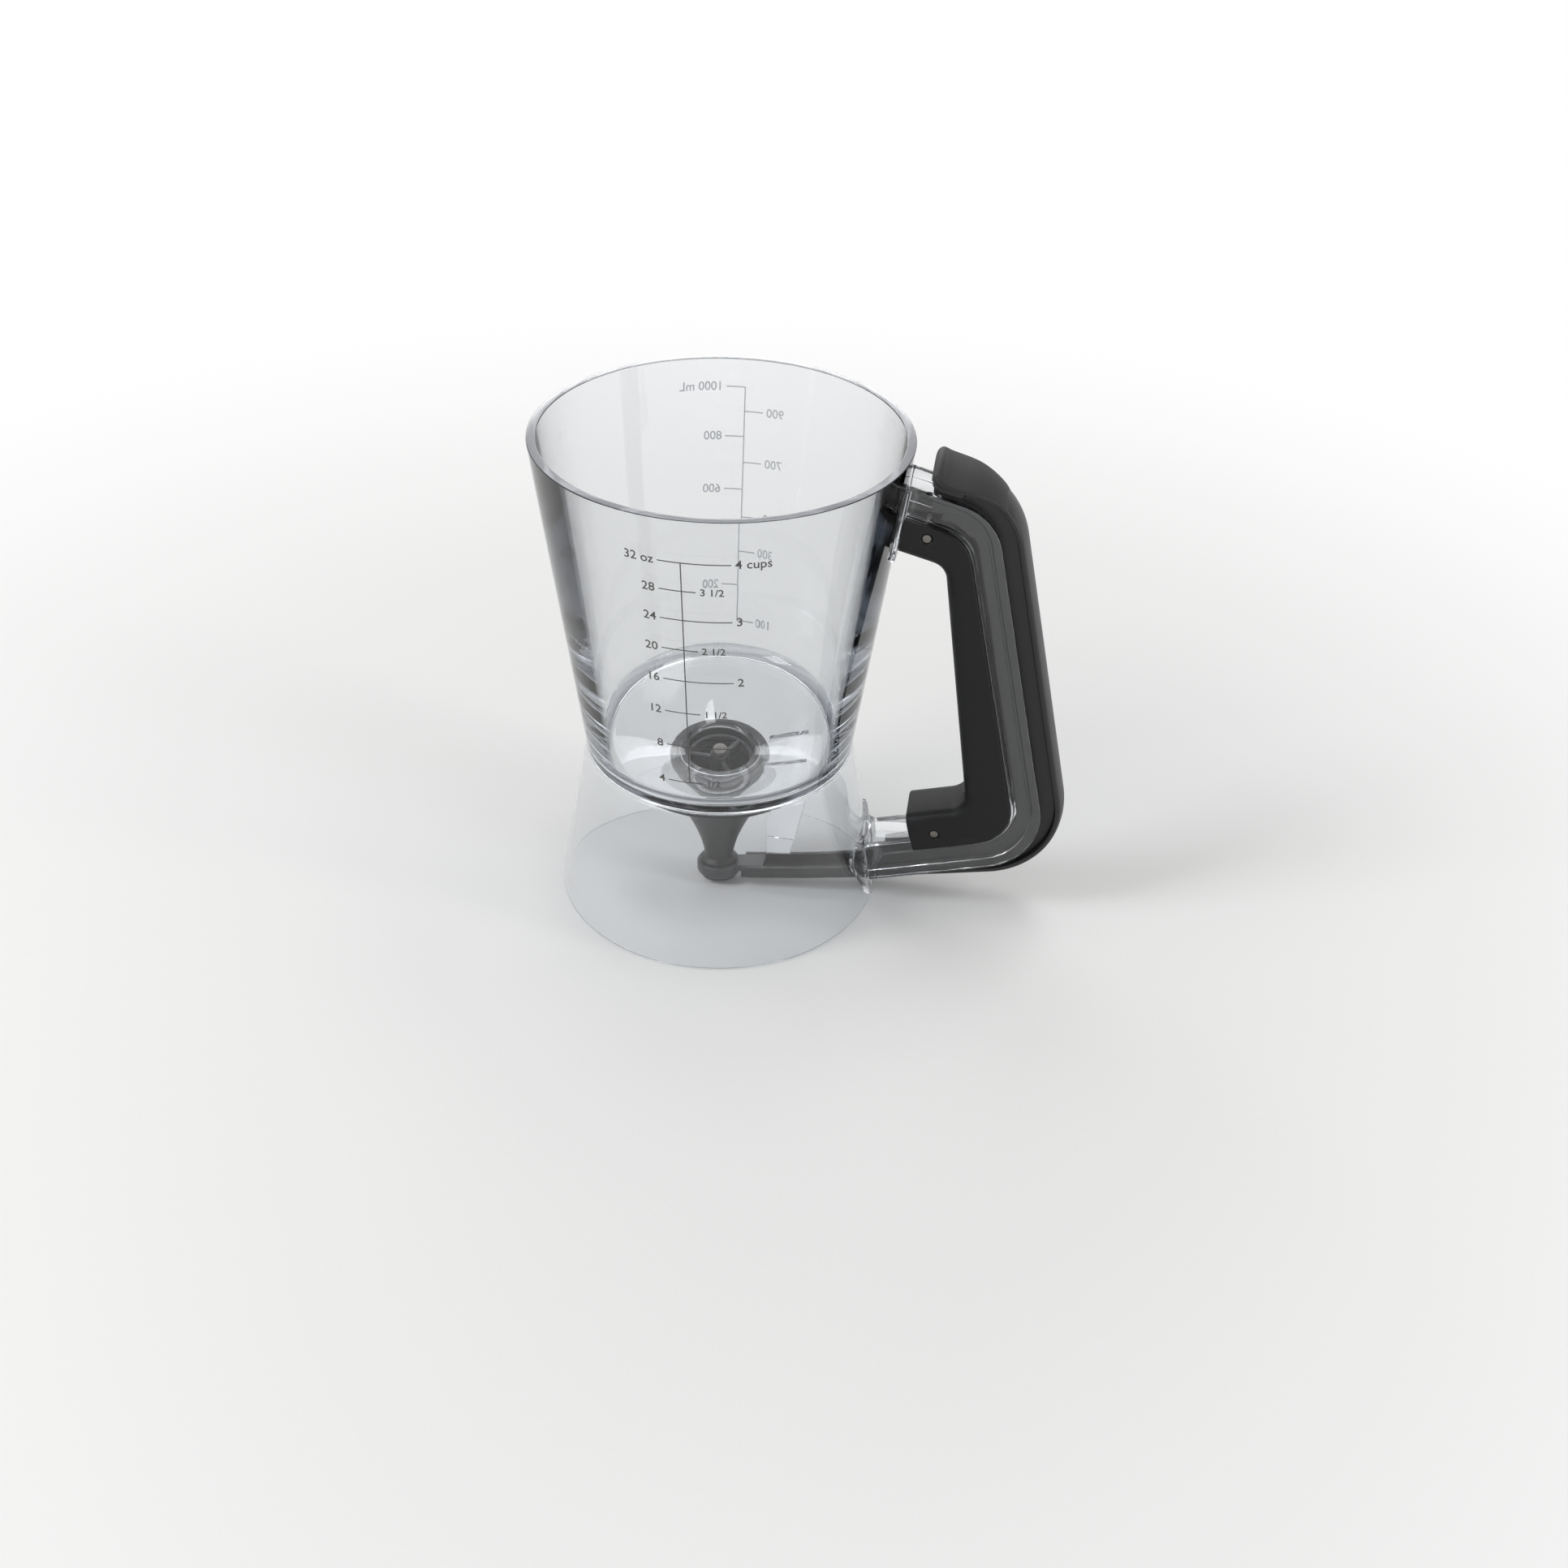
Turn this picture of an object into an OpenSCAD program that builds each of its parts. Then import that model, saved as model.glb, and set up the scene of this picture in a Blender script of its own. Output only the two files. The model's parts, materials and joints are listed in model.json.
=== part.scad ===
// Batter dispenser: a clear hourglass jug with a funnel floor, a soft silicone
// pouring nozzle under it, and a C-shaped squeeze lever in a clear channel handle.
// Squeezing the lever towards the jug swings its arm down and opens the nozzle.
// Millimetres. Origin on the jug's axis at the base plane, +Z up, handle towards +X.

/* [Jug] */
// Outer radius of the rim
rim_r = 65; // [61:0.5:70]
// Outer radius of the waist
waist_r = 49; // [46:0.5:52]
// Outer radius of the base
base_r = 60; // [57:0.5:64]
// Height of the rim above the base
jug_h = 184; // [182:0.5:192]
// Height of the waist above the base
waist_z = 64; // [62:0.5:67]
// Wall thickness at the rim
rim_wall = 3.2; // [2.4:0.1:4]
// Wall thickness at the waist
waist_wall = 3.6; // [3:0.1:4.5]
// Wall thickness at the base edge
base_wall = 2.2; // [1.8:0.1:3]
// Distance between the two ears under the floor
ear_gap = 14.4; // [13.6:0.2:17]
// Thickness of each ear
ear_t = 2; // [1.6:0.1:2.6]
// Distance from the axis to the ears
ear_x = 18.8; // [18.6:0.2:20]
// Length of each ear at its lower edge
ear_len = 9; // [7:0.5:12]
// Extra length of each ear at the floor
ear_slant = 7; // [4:0.5:9]
// Height of the ears' lower edge above the base
ear_z = 20.5; // [18:0.5:24]
// Blend radius between the wall and the floor inside
floor_blend = 8; // [4:0.5:10]
// Thickness of the floor
floor_t = 3; // [2.4:0.1:4]
// Fall of the floor from the wall to the outlet
floor_fall = 9.6; // [8:0.2:11]

/* [Outlet] */
// Bore radius of the outlet
outlet_r = 13; // [11.5:0.25:14]
// Wall thickness of the outlet spigot
spigot_wall = 2.8; // [2.2:0.1:3.2]
// Height of the spigot's lower edge above the base
spigot_z = 45.5; // [44:0.5:47]
// Height of the bead round the spigot's lower edge
bead_h = 2; // [1.5:0.1:2.5]
// Projection of that bead
bead_out = 0.8; // [0.5:0.1:1]
// Wall thickness of the nozzle's cuff
cuff_wall = 1.8; // [1.4:0.1:2.4]
// Wall thickness of the clamp ring round the cuff
clamp_wall = 2.2; // [1.8:0.1:3]
// Height of the clamp ring
clamp_h = 5; // [4:0.25:6]

/* [Nozzle] */
// Height of the nozzle's tip above the base
tip_z = 1.8; // [1.2:0.1:2.6]
// Exit bore radius
exit_r = 3.3; // [2.8:0.1:3.6]
// Inner radius of the pocket round the plug
pocket_r = 4.95; // [4.8:0.05:5.1]
// Height of the tapered seat above the tip
seat_h = 3.7; // [3:0.1:4.2]
// Outer radius of the groove that the collar holds
groove_r = 6; // [5.8:0.1:6.4]
// Height of the collar
collar_h = 5.6; // [5:0.1:6.5]
// Radius of the beads above and below the collar
tip_bead_r = 7; // [6.7:0.1:7.6]
// Height of each bead
tip_bead_h = 1.8; // [1.4:0.1:2.2]
// Outer radius of the narrow neck above the collar
neck_r = 5.3; // [5:0.1:5.7]
// Wall thickness of the neck and funnel
nozzle_wall = 1.4; // [1.1:0.1:1.6]
// How strongly the funnel's taper is hollowed, 1 for a straight cone
funnel_curve = 1.6; // [1:0.1:2.2]
// Wall thickness of the collar
collar_wall = 2.05; // [1.6:0.05:2.6]

/* [Valve plug] */
// Radius of the stem
stem_r = 1.75; // [1.5:0.05:2]
// Radius of the plug
plug_r = 3.7; // [3.6:0.05:3.75]
// Gap between the closed plug and its seat
seat_gap = 0.1; // [0.05:0.01:0.15]
// Radius of the spider's hub
hub_r = 3.6; // [3:0.1:4.5]
// Height of the spider
spider_h = 4; // [3:0.25:5]
// Width of each spider leg
leg_w = 1.8; // [1.4:0.1:2.4]

/* [Handle frame] */
// Distance from the axis to the handle's outer edge at mid height
handle_reach = 108.4; // [104:0.2:114]
// Drop from the rim to the height at which that distance is taken
mid_drop = 84; // [80:1:88]
// Outward lean of the handle's back towards its foot, degrees
back_lean = 12.5; // [10:0.5:14]
// Fall of the upper run away from the jug, degrees
top_fall = 15; // [12:0.5:17]
// Rise of the lower run away from the jug, degrees
low_rise = 15; // [13:0.5:17]
// Drop from the rim to the upper run's outer edge, at the rim radius
root_drop = 10.2; // [9:0.2:12]
// Height of the lower run's outer edge at the base radius
low_root_z = 10.6; // [10:0.1:12]
// Corner radius of the outer edge at the top
top_corner = 20; // [17:0.5:22]
// Corner radius of the outer edge at the foot
low_corner = 24; // [21:0.5:26]
// Overall width of the channel
frame_w = 17.2; // [16.4:0.1:18.5]
// Thickness of the channel's side walls
frame_wall = 2.2; // [1.8:0.1:2.6]
// Thickness of the channel's web
web_t = 2; // [1.6:0.1:2.6]
// Width of the lip along the channel's open edge
lip_depth = 4; // [3:0.25:5]
// Projection of the lip from each side wall
lip_out = 0.9; // [0.6:0.1:1.3]
// Width of the bead along the grip's edge
edge_bead_w = 1.2; // [0.8:0.1:1.6]
// Projection of that bead from each side wall
edge_bead_out = 0.7; // [0.4:0.1:1]
// Depth of the channel at its root on the base
root_depth = 15.7; // [14:0.1:17]
// Radius of the fillet where the channel meets the base
root_fillet = 4; // [2:0.5:5]
// Half width of the lower weld plate at its foot
foot_half_w = 12; // [11:0.5:14]
// Half width of the lower weld plate at its top
saddle_half_w = 20; // [17:0.5:22]
// Thickness of both weld plates
plate_t = 1.6; // [1.2:0.1:2]
// Gap left for the weld between frame and jug
weld_gap = 0.05; // [0.02:0.01:0.1]

/* [Grip] */
// Distance from the axis to the finger side at mid height
finger_x = 84.7; // [82.5:0.2:86.5]
// Lean of the finger side, degrees
finger_lean = 8.5; // [7:0.5:10.5]
// Depth of the upper run from lip to finger side
top_depth = 24; // [23:0.25:26]
// Depth of the lower run from lip to finger side
low_depth = 26.7; // [26.5:0.1:28.5]
// Corner radius on the finger side
finger_corner = 7; // [5:0.5:9]
// Thickness of the grip over the web
grip_skin = 2.2; // [1.8:0.1:2.4]
// Overall width of the grip
grip_w = 22.4; // [21.6:0.1:24]
// Rounding along the grip's finger side
grip_round = 5; // [3:0.5:6]
// Distance from the lip to the grip's edge at the top and back
cheek_in = 10.4; // [9:0.2:11]
// Distance from the lip to the grip's edge at the foot
cheek_low_in = 12.2; // [11:0.2:13]
// Distance from the axis to the grip's lower end
grip_end_x = 74.6; // [73:0.2:76]

/* [Pins and spring] */
// Radius of both cross pins
pin_r = 1.5; // [1.25:0.05:1.6]
// Running clearance of the lever on its pin, on the radius
run_gap = 0.07; // [0.02:0.01:0.1]
// Distance of the pivot pin from the axis
pivot_x = 82; // [81:0.2:83]
// Depth of the pivot pin from the lip
pivot_in = 18.5; // [18:0.1:18.8]
// Distance of the stop pin from the axis
stop_x = 71.2; // [70.6:0.2:72]
// Depth of the stop pin from the lip
stop_in = 14.8; // [14:0.1:15]
// How far each pin's end lies inside the grip's face
pin_recess = 0.5; // [0.3:0.1:1]
// Wire radius of the return spring
wire_r = 0.45; // [0.35:0.05:0.5]
// Mean radius of the spring's coil
coil_r = 2.6; // [2.4:0.05:2.65]
// Turns of the spring
turns = 4; // [3:1:4]
// Pitch of the spring's turns
coil_pitch = 1.15; // [1:0.05:1.3]
// Length of the spring's leg on the web
web_leg = 6; // [5:0.5:6.5]
// Angle between the spring's legs, beyond the full turns
leg_angle = 85; // [75:1:95]
// Distance of the other leg's tip from the lever's outer wall
leg_gap = 0.9; // [0.6:0.05:1.2]

/* [Lever] */
// Angle that the lever turns through when it is squeezed, degrees
press_angle = 2.3; // [1.5:0.1:2.4]
// Thickness of the lugs round the stop pin's slot
slot_wall = 1.2; // [1:0.05:1.3]
// Distance of the lever's outer wall outside the lip at rest
lever_out = 5.4; // [5.3:0.1:6]
// Depth of the lever inside the lip
lever_in = 9; // [7:0.25:10]
// Clearance between the lever and each side wall
side_gap = 0.3; // [0.2:0.05:0.4]
// Side wall thickness of the lever
lever_wall = 1.8; // [1.5:0.1:2.2]
// Outer wall thickness of the lever
lever_back = 2.2; // [1.8:0.1:2.6]
// Rib thickness
rib_t = 1.6; // [1.2:0.1:2]
// Distance between ribs
rib_pitch = 15; // [12:0.5:20]
// Rise of the lever's lower run, degrees
lever_rise = 10.8; // [10:0.2:12]
// Height of the lever's lower run where it meets the base
lever_root_z = 12.6; // [12.2:0.1:13]
// Outer corner radius of the lever at the foot
lever_corner = 27; // [25:0.5:29]
// Radius of the lug round the pivot pin
lug_r = 3.6; // [3.2:0.1:3.7]
// Height of the arm inside the base
arm_h = 4.8; // [4.5:0.1:5.2]
// Height of the arm's lower face at its inner end
arm_z = 4.9; // [4.5:0.1:5.2]
// Height of the arm's lower face where it enters the base
arm_root_z = 9.4; // [9:0.1:9.8]
// Thickness of the arm's bottom wall
arm_floor = 1.8; // [1.6:0.1:2.2]
// Thickness of the wing plate under the thumb pad
wing_t = 1.6; // [1.3:0.1:2]

/* [Soft covers of the lever] */
// Width of the palm band
band_w = 17; // [15:0.5:18]
// Thickness of the palm band at its crown
band_t = 3.2; // [2.6:0.1:4]
// Thickness of the palm band at its edges
band_edge = 1.7; // [1.2:0.1:2]
// Width of the thumb pad
pad_w = 28; // [24:0.5:30]
// Distance from the axis to the thumb pad's end at rest
pad_x = 71; // [70.6:0.2:73]
// Radius of the rolled lip at the thumb pad's end
pad_lip_r = 1.9; // [1.5:0.1:2.3]

/* [Hidden] */

$fn = 96;
arc_n = 14;           // straight steps in each corner of a side outline
far = 60;             // reach of cutting blocks and of outlines run into the jug
fit_gap = 0.05;       // gap between pieces that seat on each other
soft_gap = 0.3;       // gap between soft pieces and what they don't touch
wall_gap = 0.35;      // gap between the palm band and the channel's side walls
lap = 0.02;           // overlap where a straight run joins a bend
root_x = 45;          // where the outlines end inside the jug's envelope

top_root_z = jug_h - root_drop;
mid_z = jug_h - mid_drop;
inner_w = frame_w - 2 * frame_wall;
slot_low = arm_root_z - 2.6;
slot_top = low_root_z + root_depth - web_t - 0.6;
lever_w = inner_w - 2 * side_gap;
slot_in_w = lever_w - 2 * lever_wall;
spigot_r = outlet_r + spigot_wall;
cuff_r = spigot_r + fit_gap;
floor_r = waist_r - waist_wall;
outlet_z = waist_z - floor_fall;
collar_z = tip_z + tip_bead_h + 0.15;
collar_in_r = groove_r + 0.15;
collar_r = collar_in_r + collar_wall;

// Lines in the side view are [point, direction in degrees]; a path runs from the
// upper run down the back to the lower run, and turns clockwise.
function unit(a) = [cos(a), sin(a)];
function inward(a) = [sin(a), -cos(a)];
function shifted(l, d) = [l[0] + d * inward(l[1]), l[1]];
function cross2(a, b) = a[0] * b[1] - a[1] * b[0];
function meet(l, m) =
    l[0] + unit(l[1]) * cross2(m[0] - l[0], unit(m[1])) / cross2(unit(l[1]), unit(m[1]));
function at_x(l, x) = l[0] + unit(l[1]) * (x - l[0][0]) / cos(l[1]);
function bend_centre(l, m, r) = meet(shifted(l, r), shifted(m, r));
function bend(l, m, r) =
    [for (i = [0:arc_n]) bend_centre(l, m, r) - r * inward(l[1] + (m[1] - l[1]) * i / arc_n)];
function path(lines, r, x0, x1) =
    concat([at_x(lines[0], x0)], bend(lines[0], lines[1], r[0]),
           bend(lines[1], lines[2], r[1]), [at_x(lines[2], x1)]);
function reversed(v) = [for (i = [len(v) - 1:-1:0]) v[i]];
function turned(p, c, a) =
    c + [cos(a) * (p - c)[0] - sin(a) * (p - c)[1], sin(a) * (p - c)[0] + cos(a) * (p - c)[1]];

// Outer radius of the jug, and height of the funnel floor's top face, at a place
function wall_r(z) = z < waist_z
    ? base_r + (waist_r - base_r) * z / waist_z
    : waist_r + (rim_r - waist_r) * (z - waist_z) / (jug_h - waist_z);
function floor_z(r) = waist_z - floor_fall * (floor_r - r) / (floor_r - outlet_r);

lip_lines = [[[rim_r, top_root_z], -top_fall],
             [[handle_reach, mid_z], back_lean - 90],
             [[base_r, low_root_z], low_rise - 180]];
finger_lines = [shifted(lip_lines[0], top_depth),
                [[finger_x, mid_z], finger_lean - 90],
                shifted(lip_lines[2], low_depth)];
function from_lip(d) = [for (l = lip_lines) shifted(l, d)];
function from_finger(d) = [for (l = finger_lines) shifted(l, -d)];
lip_bends = [top_corner, low_corner];
function lip_path(d) = path(from_lip(d), lip_bends - [d, d], root_x, root_x);
function finger_path(d) =
    path(from_finger(d), [finger_corner + d, finger_corner + d], root_x, root_x);

// The line where the grip ends on the channel's side walls
function cheek_path(d) = path([shifted(lip_lines[0], cheek_in - d), shifted(lip_lines[1], cheek_in - d),
                               shifted(lip_lines[2], cheek_low_in - d)], [14 + d, 15 + d],
                              root_x, root_x);
web_out = grip_skin;
web_in = grip_skin + web_t;
pivot = at_x(shifted(lip_lines[2], pivot_in), pivot_x);
stop = at_x(shifted(lip_lines[0], stop_in), stop_x);
grip_end = at_x(shifted(lip_lines[2], cheek_low_in), grip_end_x);

// The lever's outer wall: its path carries the palm band and the thumb pad
lever_lines = [shifted(lip_lines[0], -lever_out),
               shifted(lip_lines[1], -lever_out),
               [[base_r, lever_root_z], lever_rise - 180]];
lever_bends = [top_corner + lever_out, lever_corner];
arm_x = collar_r + 1.2;
arm_rise = (arm_root_z - arm_z) / (base_r - arm_x);
function arm_low(x) = arm_z + arm_rise * (x - arm_x);
function arm_top(x) = arm_low(x) + arm_h;
shoulder_x = wall_r(low_root_z) + 2.6;
tongue_x = arm_x + 8;

// Place a piece drawn along +X, with its outer side up, on a line of the side view
module along(p, a) { translate([p[0], 0, p[1]]) rotate([0, -a, 0]) children(); }
// Give a side-view outline its width across the handle
module plate(w) { rotate([90, 0, 0]) translate([0, 0, -w / 2]) linear_extrude(w) children(); }
// A round bar across the handle
module cross_bar(p, r, w) {
    translate([p[0], 0, p[1]]) rotate([90, 0, 0]) cylinder(r = r, h = w, center = true);
}
// Everything beyond the end of the grip, towards the base
module past_grip_end(back) {
    along(grip_end, low_rise - 180) translate([-back, -far / 2, -far]) cube([far, far, 2 * far]);
}
// The space that the jug takes up, grown by a gap
module jug_envelope(gap) {
    rotate_extrude() polygon([[0, -1], [base_r + gap, -1], [base_r + gap, 0],
                              [waist_r + gap, waist_z], [rim_r + gap, jug_h - 0.5],
                              [rim_r + gap, jug_h + 1], [0, jug_h + 1]]);
}
// Carry a profile of [outwards, across] points along straights and round bends
module straight_run(p, q, a, profile) {
    along(p, a) rotate([90, 0, 90]) linear_extrude(norm(q - p))
        polygon([for (v = profile) [v[1], v[0]]]);
}
module bend_run(c, r, a0, a1, profile) {
    translate([c[0], 0, c[1]]) rotate([90, 0, 0]) rotate([0, 0, a1 + 90])
        rotate_extrude(angle = a0 - a1) translate([r, 0]) polygon(profile);
}
module swept(lines, r, x0, x1, profile) {
    c0 = bend_centre(lines[0], lines[1], r[0]);
    c1 = bend_centre(lines[1], lines[2], r[1]);
    a = [for (l = lines) l[1]];
    p = [c0 - r[0] * inward(a[0]), c0 - r[0] * inward(a[1]),
         c1 - r[1] * inward(a[1]), c1 - r[1] * inward(a[2])];
    if (x0 != undef)
        straight_run(at_x(lines[0], x0), p[0] + lap * unit(a[0]), a[0], profile);
    bend_run(c0, r[0], a[0], a[1], profile);
    straight_run(p[1] - lap * unit(a[1]), p[2] + lap * unit(a[1]), a[1], profile);
    bend_run(c1, r[1], a[1], a[2], profile);
    straight_run(p[3] - lap * unit(a[2]), at_x(lines[2], x1), a[2], profile);
}

// Points of an arc about a centre, from one angle to another
function arc(c, r, a0, a1) =
    [for (i = [0:arc_n]) let (a = a0 + (a1 - a0) * i / arc_n) c + r * [cos(a), sin(a)]];
// A quarter circle of points about a centre, for rounded profile corners
function quarter(c, r, a0) = [for (i = [0:6]) c + r * [cos(a0 + 15 * i), sin(a0 + 15 * i)]];
// The inner corner between the jug's wall and its funnel floor
wall_dir = atan2(jug_h - waist_z, rim_r - rim_wall - floor_r);
floor_dir = atan2(floor_fall, floor_r - outlet_r);
function jug_blend(c, a0, a1) =
    [for (i = [0:arc_n]) let (a = a0 + (a1 - a0) * i / arc_n) c + floor_blend * [cos(a), sin(a)]];
blend_c = meet([[floor_r, waist_z] - floor_blend * [sin(wall_dir), -cos(wall_dir)], wall_dir],
               [[floor_r, waist_z] + floor_blend * [-sin(floor_dir), cos(floor_dir)], floor_dir]);

jug_profile = concat(
    [[base_r, 0], [waist_r, waist_z], [rim_r, jug_h - 0.5], [rim_r - 0.5, jug_h],
     [rim_r - rim_wall + 0.5, jug_h], [rim_r - rim_wall, jug_h - 0.5]],
    jug_blend(blend_c, wall_dir - 90, floor_dir - 90),
    [[outlet_r, outlet_z], [outlet_r, spigot_z], [spigot_r + bead_out - 0.4, spigot_z],
     [spigot_r + bead_out, spigot_z + 0.4], [spigot_r, spigot_z + bead_h],
     [spigot_r, floor_z(spigot_r) - floor_t],
     [waist_r - waist_wall, floor_z(floor_r) - floor_t],
     [base_r - base_wall, 0]]);

// Clear moulding: flared container, funnel floor with its outlet spigot, two ears
// under the floor, and flared base with the opening for the lever's arm
module jug_body() color([0.85, 0.9, 0.92, 0.4]) difference() {
    union() {
        rotate_extrude() polygon(jug_profile);
        for (side = [-1, 1]) translate([0, side * (ear_gap + ear_t) / 2, 0])
            plate(ear_t) polygon([
                [ear_x, ear_z], [ear_x + ear_len, ear_z],
                [ear_x + ear_len + ear_slant, floor_z(ear_x + ear_len + ear_slant) - floor_t / 2],
                [ear_x, floor_z(ear_x) - floor_t / 2]]);
    }
    translate([root_x, -inner_w / 2, slot_low]) cube([far, inner_w, slot_top - slot_low]);
}

// Solid form of the handle: channel, lips, beads and the step down to its root, which
// is filleted to the base
root_top = [at_x(shifted(lip_lines[2], root_depth), grip_end_x + 2), low_rise];
skirt_line = [[waist_r, waist_z], atan2(-waist_z, base_r - waist_r)];
module frame_blank(gap) {
    difference() {
        union() {
            plate(frame_w + 2 * gap)
                polygon(concat(lip_path(0), reversed(finger_path(web_out - gap))));
            plate(frame_w + 2 * edge_bead_out)
                polygon(concat(cheek_path(fit_gap + edge_bead_w), reversed(cheek_path(fit_gap))));
        }
        past_grip_end(0);
    }
    plate(frame_w + 2 * gap)
        polygon(concat([at_x(lip_lines[2], root_x), at_x(lip_lines[2], grip_end_x + 6), root_top[0]],
                       reversed(bend(skirt_line, root_top, -root_fillet)),
                       [[root_x, bend(skirt_line, root_top, -root_fillet)[0][1]]]));
    plate(frame_w + 2 * lip_out) polygon(concat(lip_path(0), reversed(lip_path(lip_depth))));
}

// Clear moulding: channel handle, open along its outer edge, with lips, the upper and
// lower weld plates and the holes for both pins
saddle_low = low_root_z - 7;
saddle_top = low_root_z + root_depth + 2.5;
saddle = concat(
    arc([foot_half_w - 4, saddle_low + 4], 4, 270, 340),
    arc([saddle_half_w - 5, saddle_top - 5], 5, -20, 90),
    arc([5 - saddle_half_w, saddle_top - 5], 5, 90, 200),
    arc([4 - foot_half_w, saddle_low + 4], 4, 200, 270));
module handle_frame() color([0.85, 0.9, 0.92, 0.4]) difference() {
    union() {
        frame_blank(0);
        intersection() {
            jug_envelope(plate_t);
            union() {
                translate([root_x, 0, 0]) rotate([90, 0, 90]) linear_extrude(far) polygon(saddle);
                translate([root_x, -frame_w / 2 - 2, top_root_z - top_depth - 3])
                    cube([far, frame_w + 4, top_depth + 2.4]);
            }
        }
    }
    difference() {
        plate(inner_w) polygon(concat(lip_path(-2), reversed(finger_path(web_in))));
        past_grip_end(web_t);
    }
    plate(inner_w)
        polygon([at_x(shifted(lip_lines[2], -8), root_x),
                 at_x(shifted(lip_lines[2], -8), grip_end_x + 6),
                 at_x(shifted(lip_lines[2], root_depth - web_t), grip_end_x + 6),
                 at_x(shifted(lip_lines[2], root_depth - web_t), root_x)]);
    jug_envelope(weld_gap);
    for (p = [pivot, stop]) cross_bar(p, pin_r + 0.02, far);
}

// Soft sleeve on the finger side, rounded along its length, with the pin holes
grip_profile = concat(
    quarter([grip_round, grip_round - grip_w / 2], grip_round, 180),
    [[far / 2, -grip_w / 2], [far / 2, grip_w / 2]],
    quarter([grip_round, grip_w / 2 - grip_round], grip_round, 90));
module inner_grip() color([0.12, 0.12, 0.12]) difference() {
    intersection() {
        swept(from_finger(0), [finger_corner, finger_corner], root_x, root_x, grip_profile);
        plate(far) polygon(concat(cheek_path(0),
            reversed(path(from_finger(-1), [finger_corner - 1, finger_corner - 1], root_x, root_x))));
    }
    frame_blank(fit_gap);
    past_grip_end(0);
    jug_envelope(plate_t + soft_gap);
    for (p = [pivot, stop]) cross_bar(p, pin_r + 0.2, far);
}

// Steel pins across the handle
module cross_pin(p) { cross_bar(p, pin_r, grip_w - 2 * pin_recess); }
module pivot_pin() color("silver") cross_pin(pivot);
module stop_pin() color("silver") cross_pin(stop);

// Wire spring: a leg on the web, the coil round the pivot pin, a leg on the lever
coil_step = 18;
coil_total = 360 * turns + leg_angle;
leg_dir = low_rise - leg_angle;
function ring_dir(a) = [cos(low_rise + 90 - a), 0, sin(low_rise + 90 - a)];
function coil_pt(a) = [pivot[0], (a / coil_total - 0.5) * coil_pitch * coil_total / 360, pivot[1]]
    + coil_r * ring_dir(a);
coil_end = coil_pt(coil_total);
leg_tip = meet([[coil_end[0], coil_end[2]], leg_dir],
               shifted(lever_lines[2], lever_back + wire_r + leg_gap));
// Each entry is a point and the angle turned through there
spring_path = concat(
    [[coil_pt(0) - web_leg * [cos(low_rise), 0, sin(low_rise)], 0]],
    [for (i = [0:ceil(coil_total / coil_step)])
        [coil_pt(min(i * coil_step, coil_total)), min(i * coil_step, coil_total)]],
    [[[leg_tip[0], coil_end[1], leg_tip[1]], coil_total]]);
module return_spring() color("silver") {
    sides = 8;
    n = len(spring_path);
    points = [for (s = spring_path, k = [0:sides - 1])
        s[0] + wire_r * (cos(360 * k / sides) * ring_dir(s[1]) + [0, sin(360 * k / sides), 0])];
    faces = concat(
        [[for (k = [0:sides - 1]) k]],
        [[for (k = [sides - 1:-1:0]) (n - 1) * sides + k]],
        [for (i = [0:n - 2], k = [0:sides - 1])
            [i * sides + k, (i + 1) * sides + k,
             (i + 1) * sides + (k + 1) % sides, i * sides + (k + 1) % sides]]);
    polyhedron(points, faces, convexity = 6);
}

// Side outline of the lever: outer wall, step down to the arm, arm, open inner side
function lever_outline(out, low, into, top, x0) = concat(
    path([for (l = lever_lines) shifted(l, out)], lever_bends - [out, out],
         pad_x + 1, shoulder_x - low),
    [[shoulder_x - low, arm_low(shoulder_x - low) + low], [x0, arm_low(x0) + low],
     [x0, arm_top(x0) + top], [shoulder_x, arm_top(shoulder_x) + top]],
    reversed(path(from_lip(into), lip_bends - [into, into], pad_x + 1, shoulder_x + 3)));
lug_base = at_x(from_lip(lever_in - 3)[2], pivot_x);
pivot_lug = concat(arc(pivot, lug_r, 0, 180),
                   [lug_base - [lug_r + 3, 0], lug_base + [lug_r + 3, 0]]);
// Where the stop pin lies in the lever when the lever is squeezed
far_stop = turned(stop, pivot, -press_angle);
stop_dir = atan2(far_stop[1] - stop[1], far_stop[0] - stop[0]);
slot_r = pin_r + 0.1;
lug_line = from_lip(lever_in - 2)[0];
stop_lug = concat(arc(stop, slot_r + slot_wall, 180, 270), arc(far_stop, slot_r + slot_wall, 270, 360),
                  [at_x(lug_line, far_stop[0] + slot_r + slot_wall + 2), at_x(lug_line, pad_x + 2)]);
spine = lever_lines[1];
spine_top = bend_centre(lever_lines[0], spine, lever_bends[0]) - lever_bends[0] * inward(spine[1]);
spine_foot = bend_centre(spine, lever_lines[2], lever_bends[1]) - lever_bends[1] * inward(spine[1]);
pad_start = at_x(lever_lines[0], pad_x);
pad_len = norm(bend_centre(lever_lines[0], spine, lever_bends[0])
               - lever_bends[0] * inward(lever_lines[0][1]) - pad_start);

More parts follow.
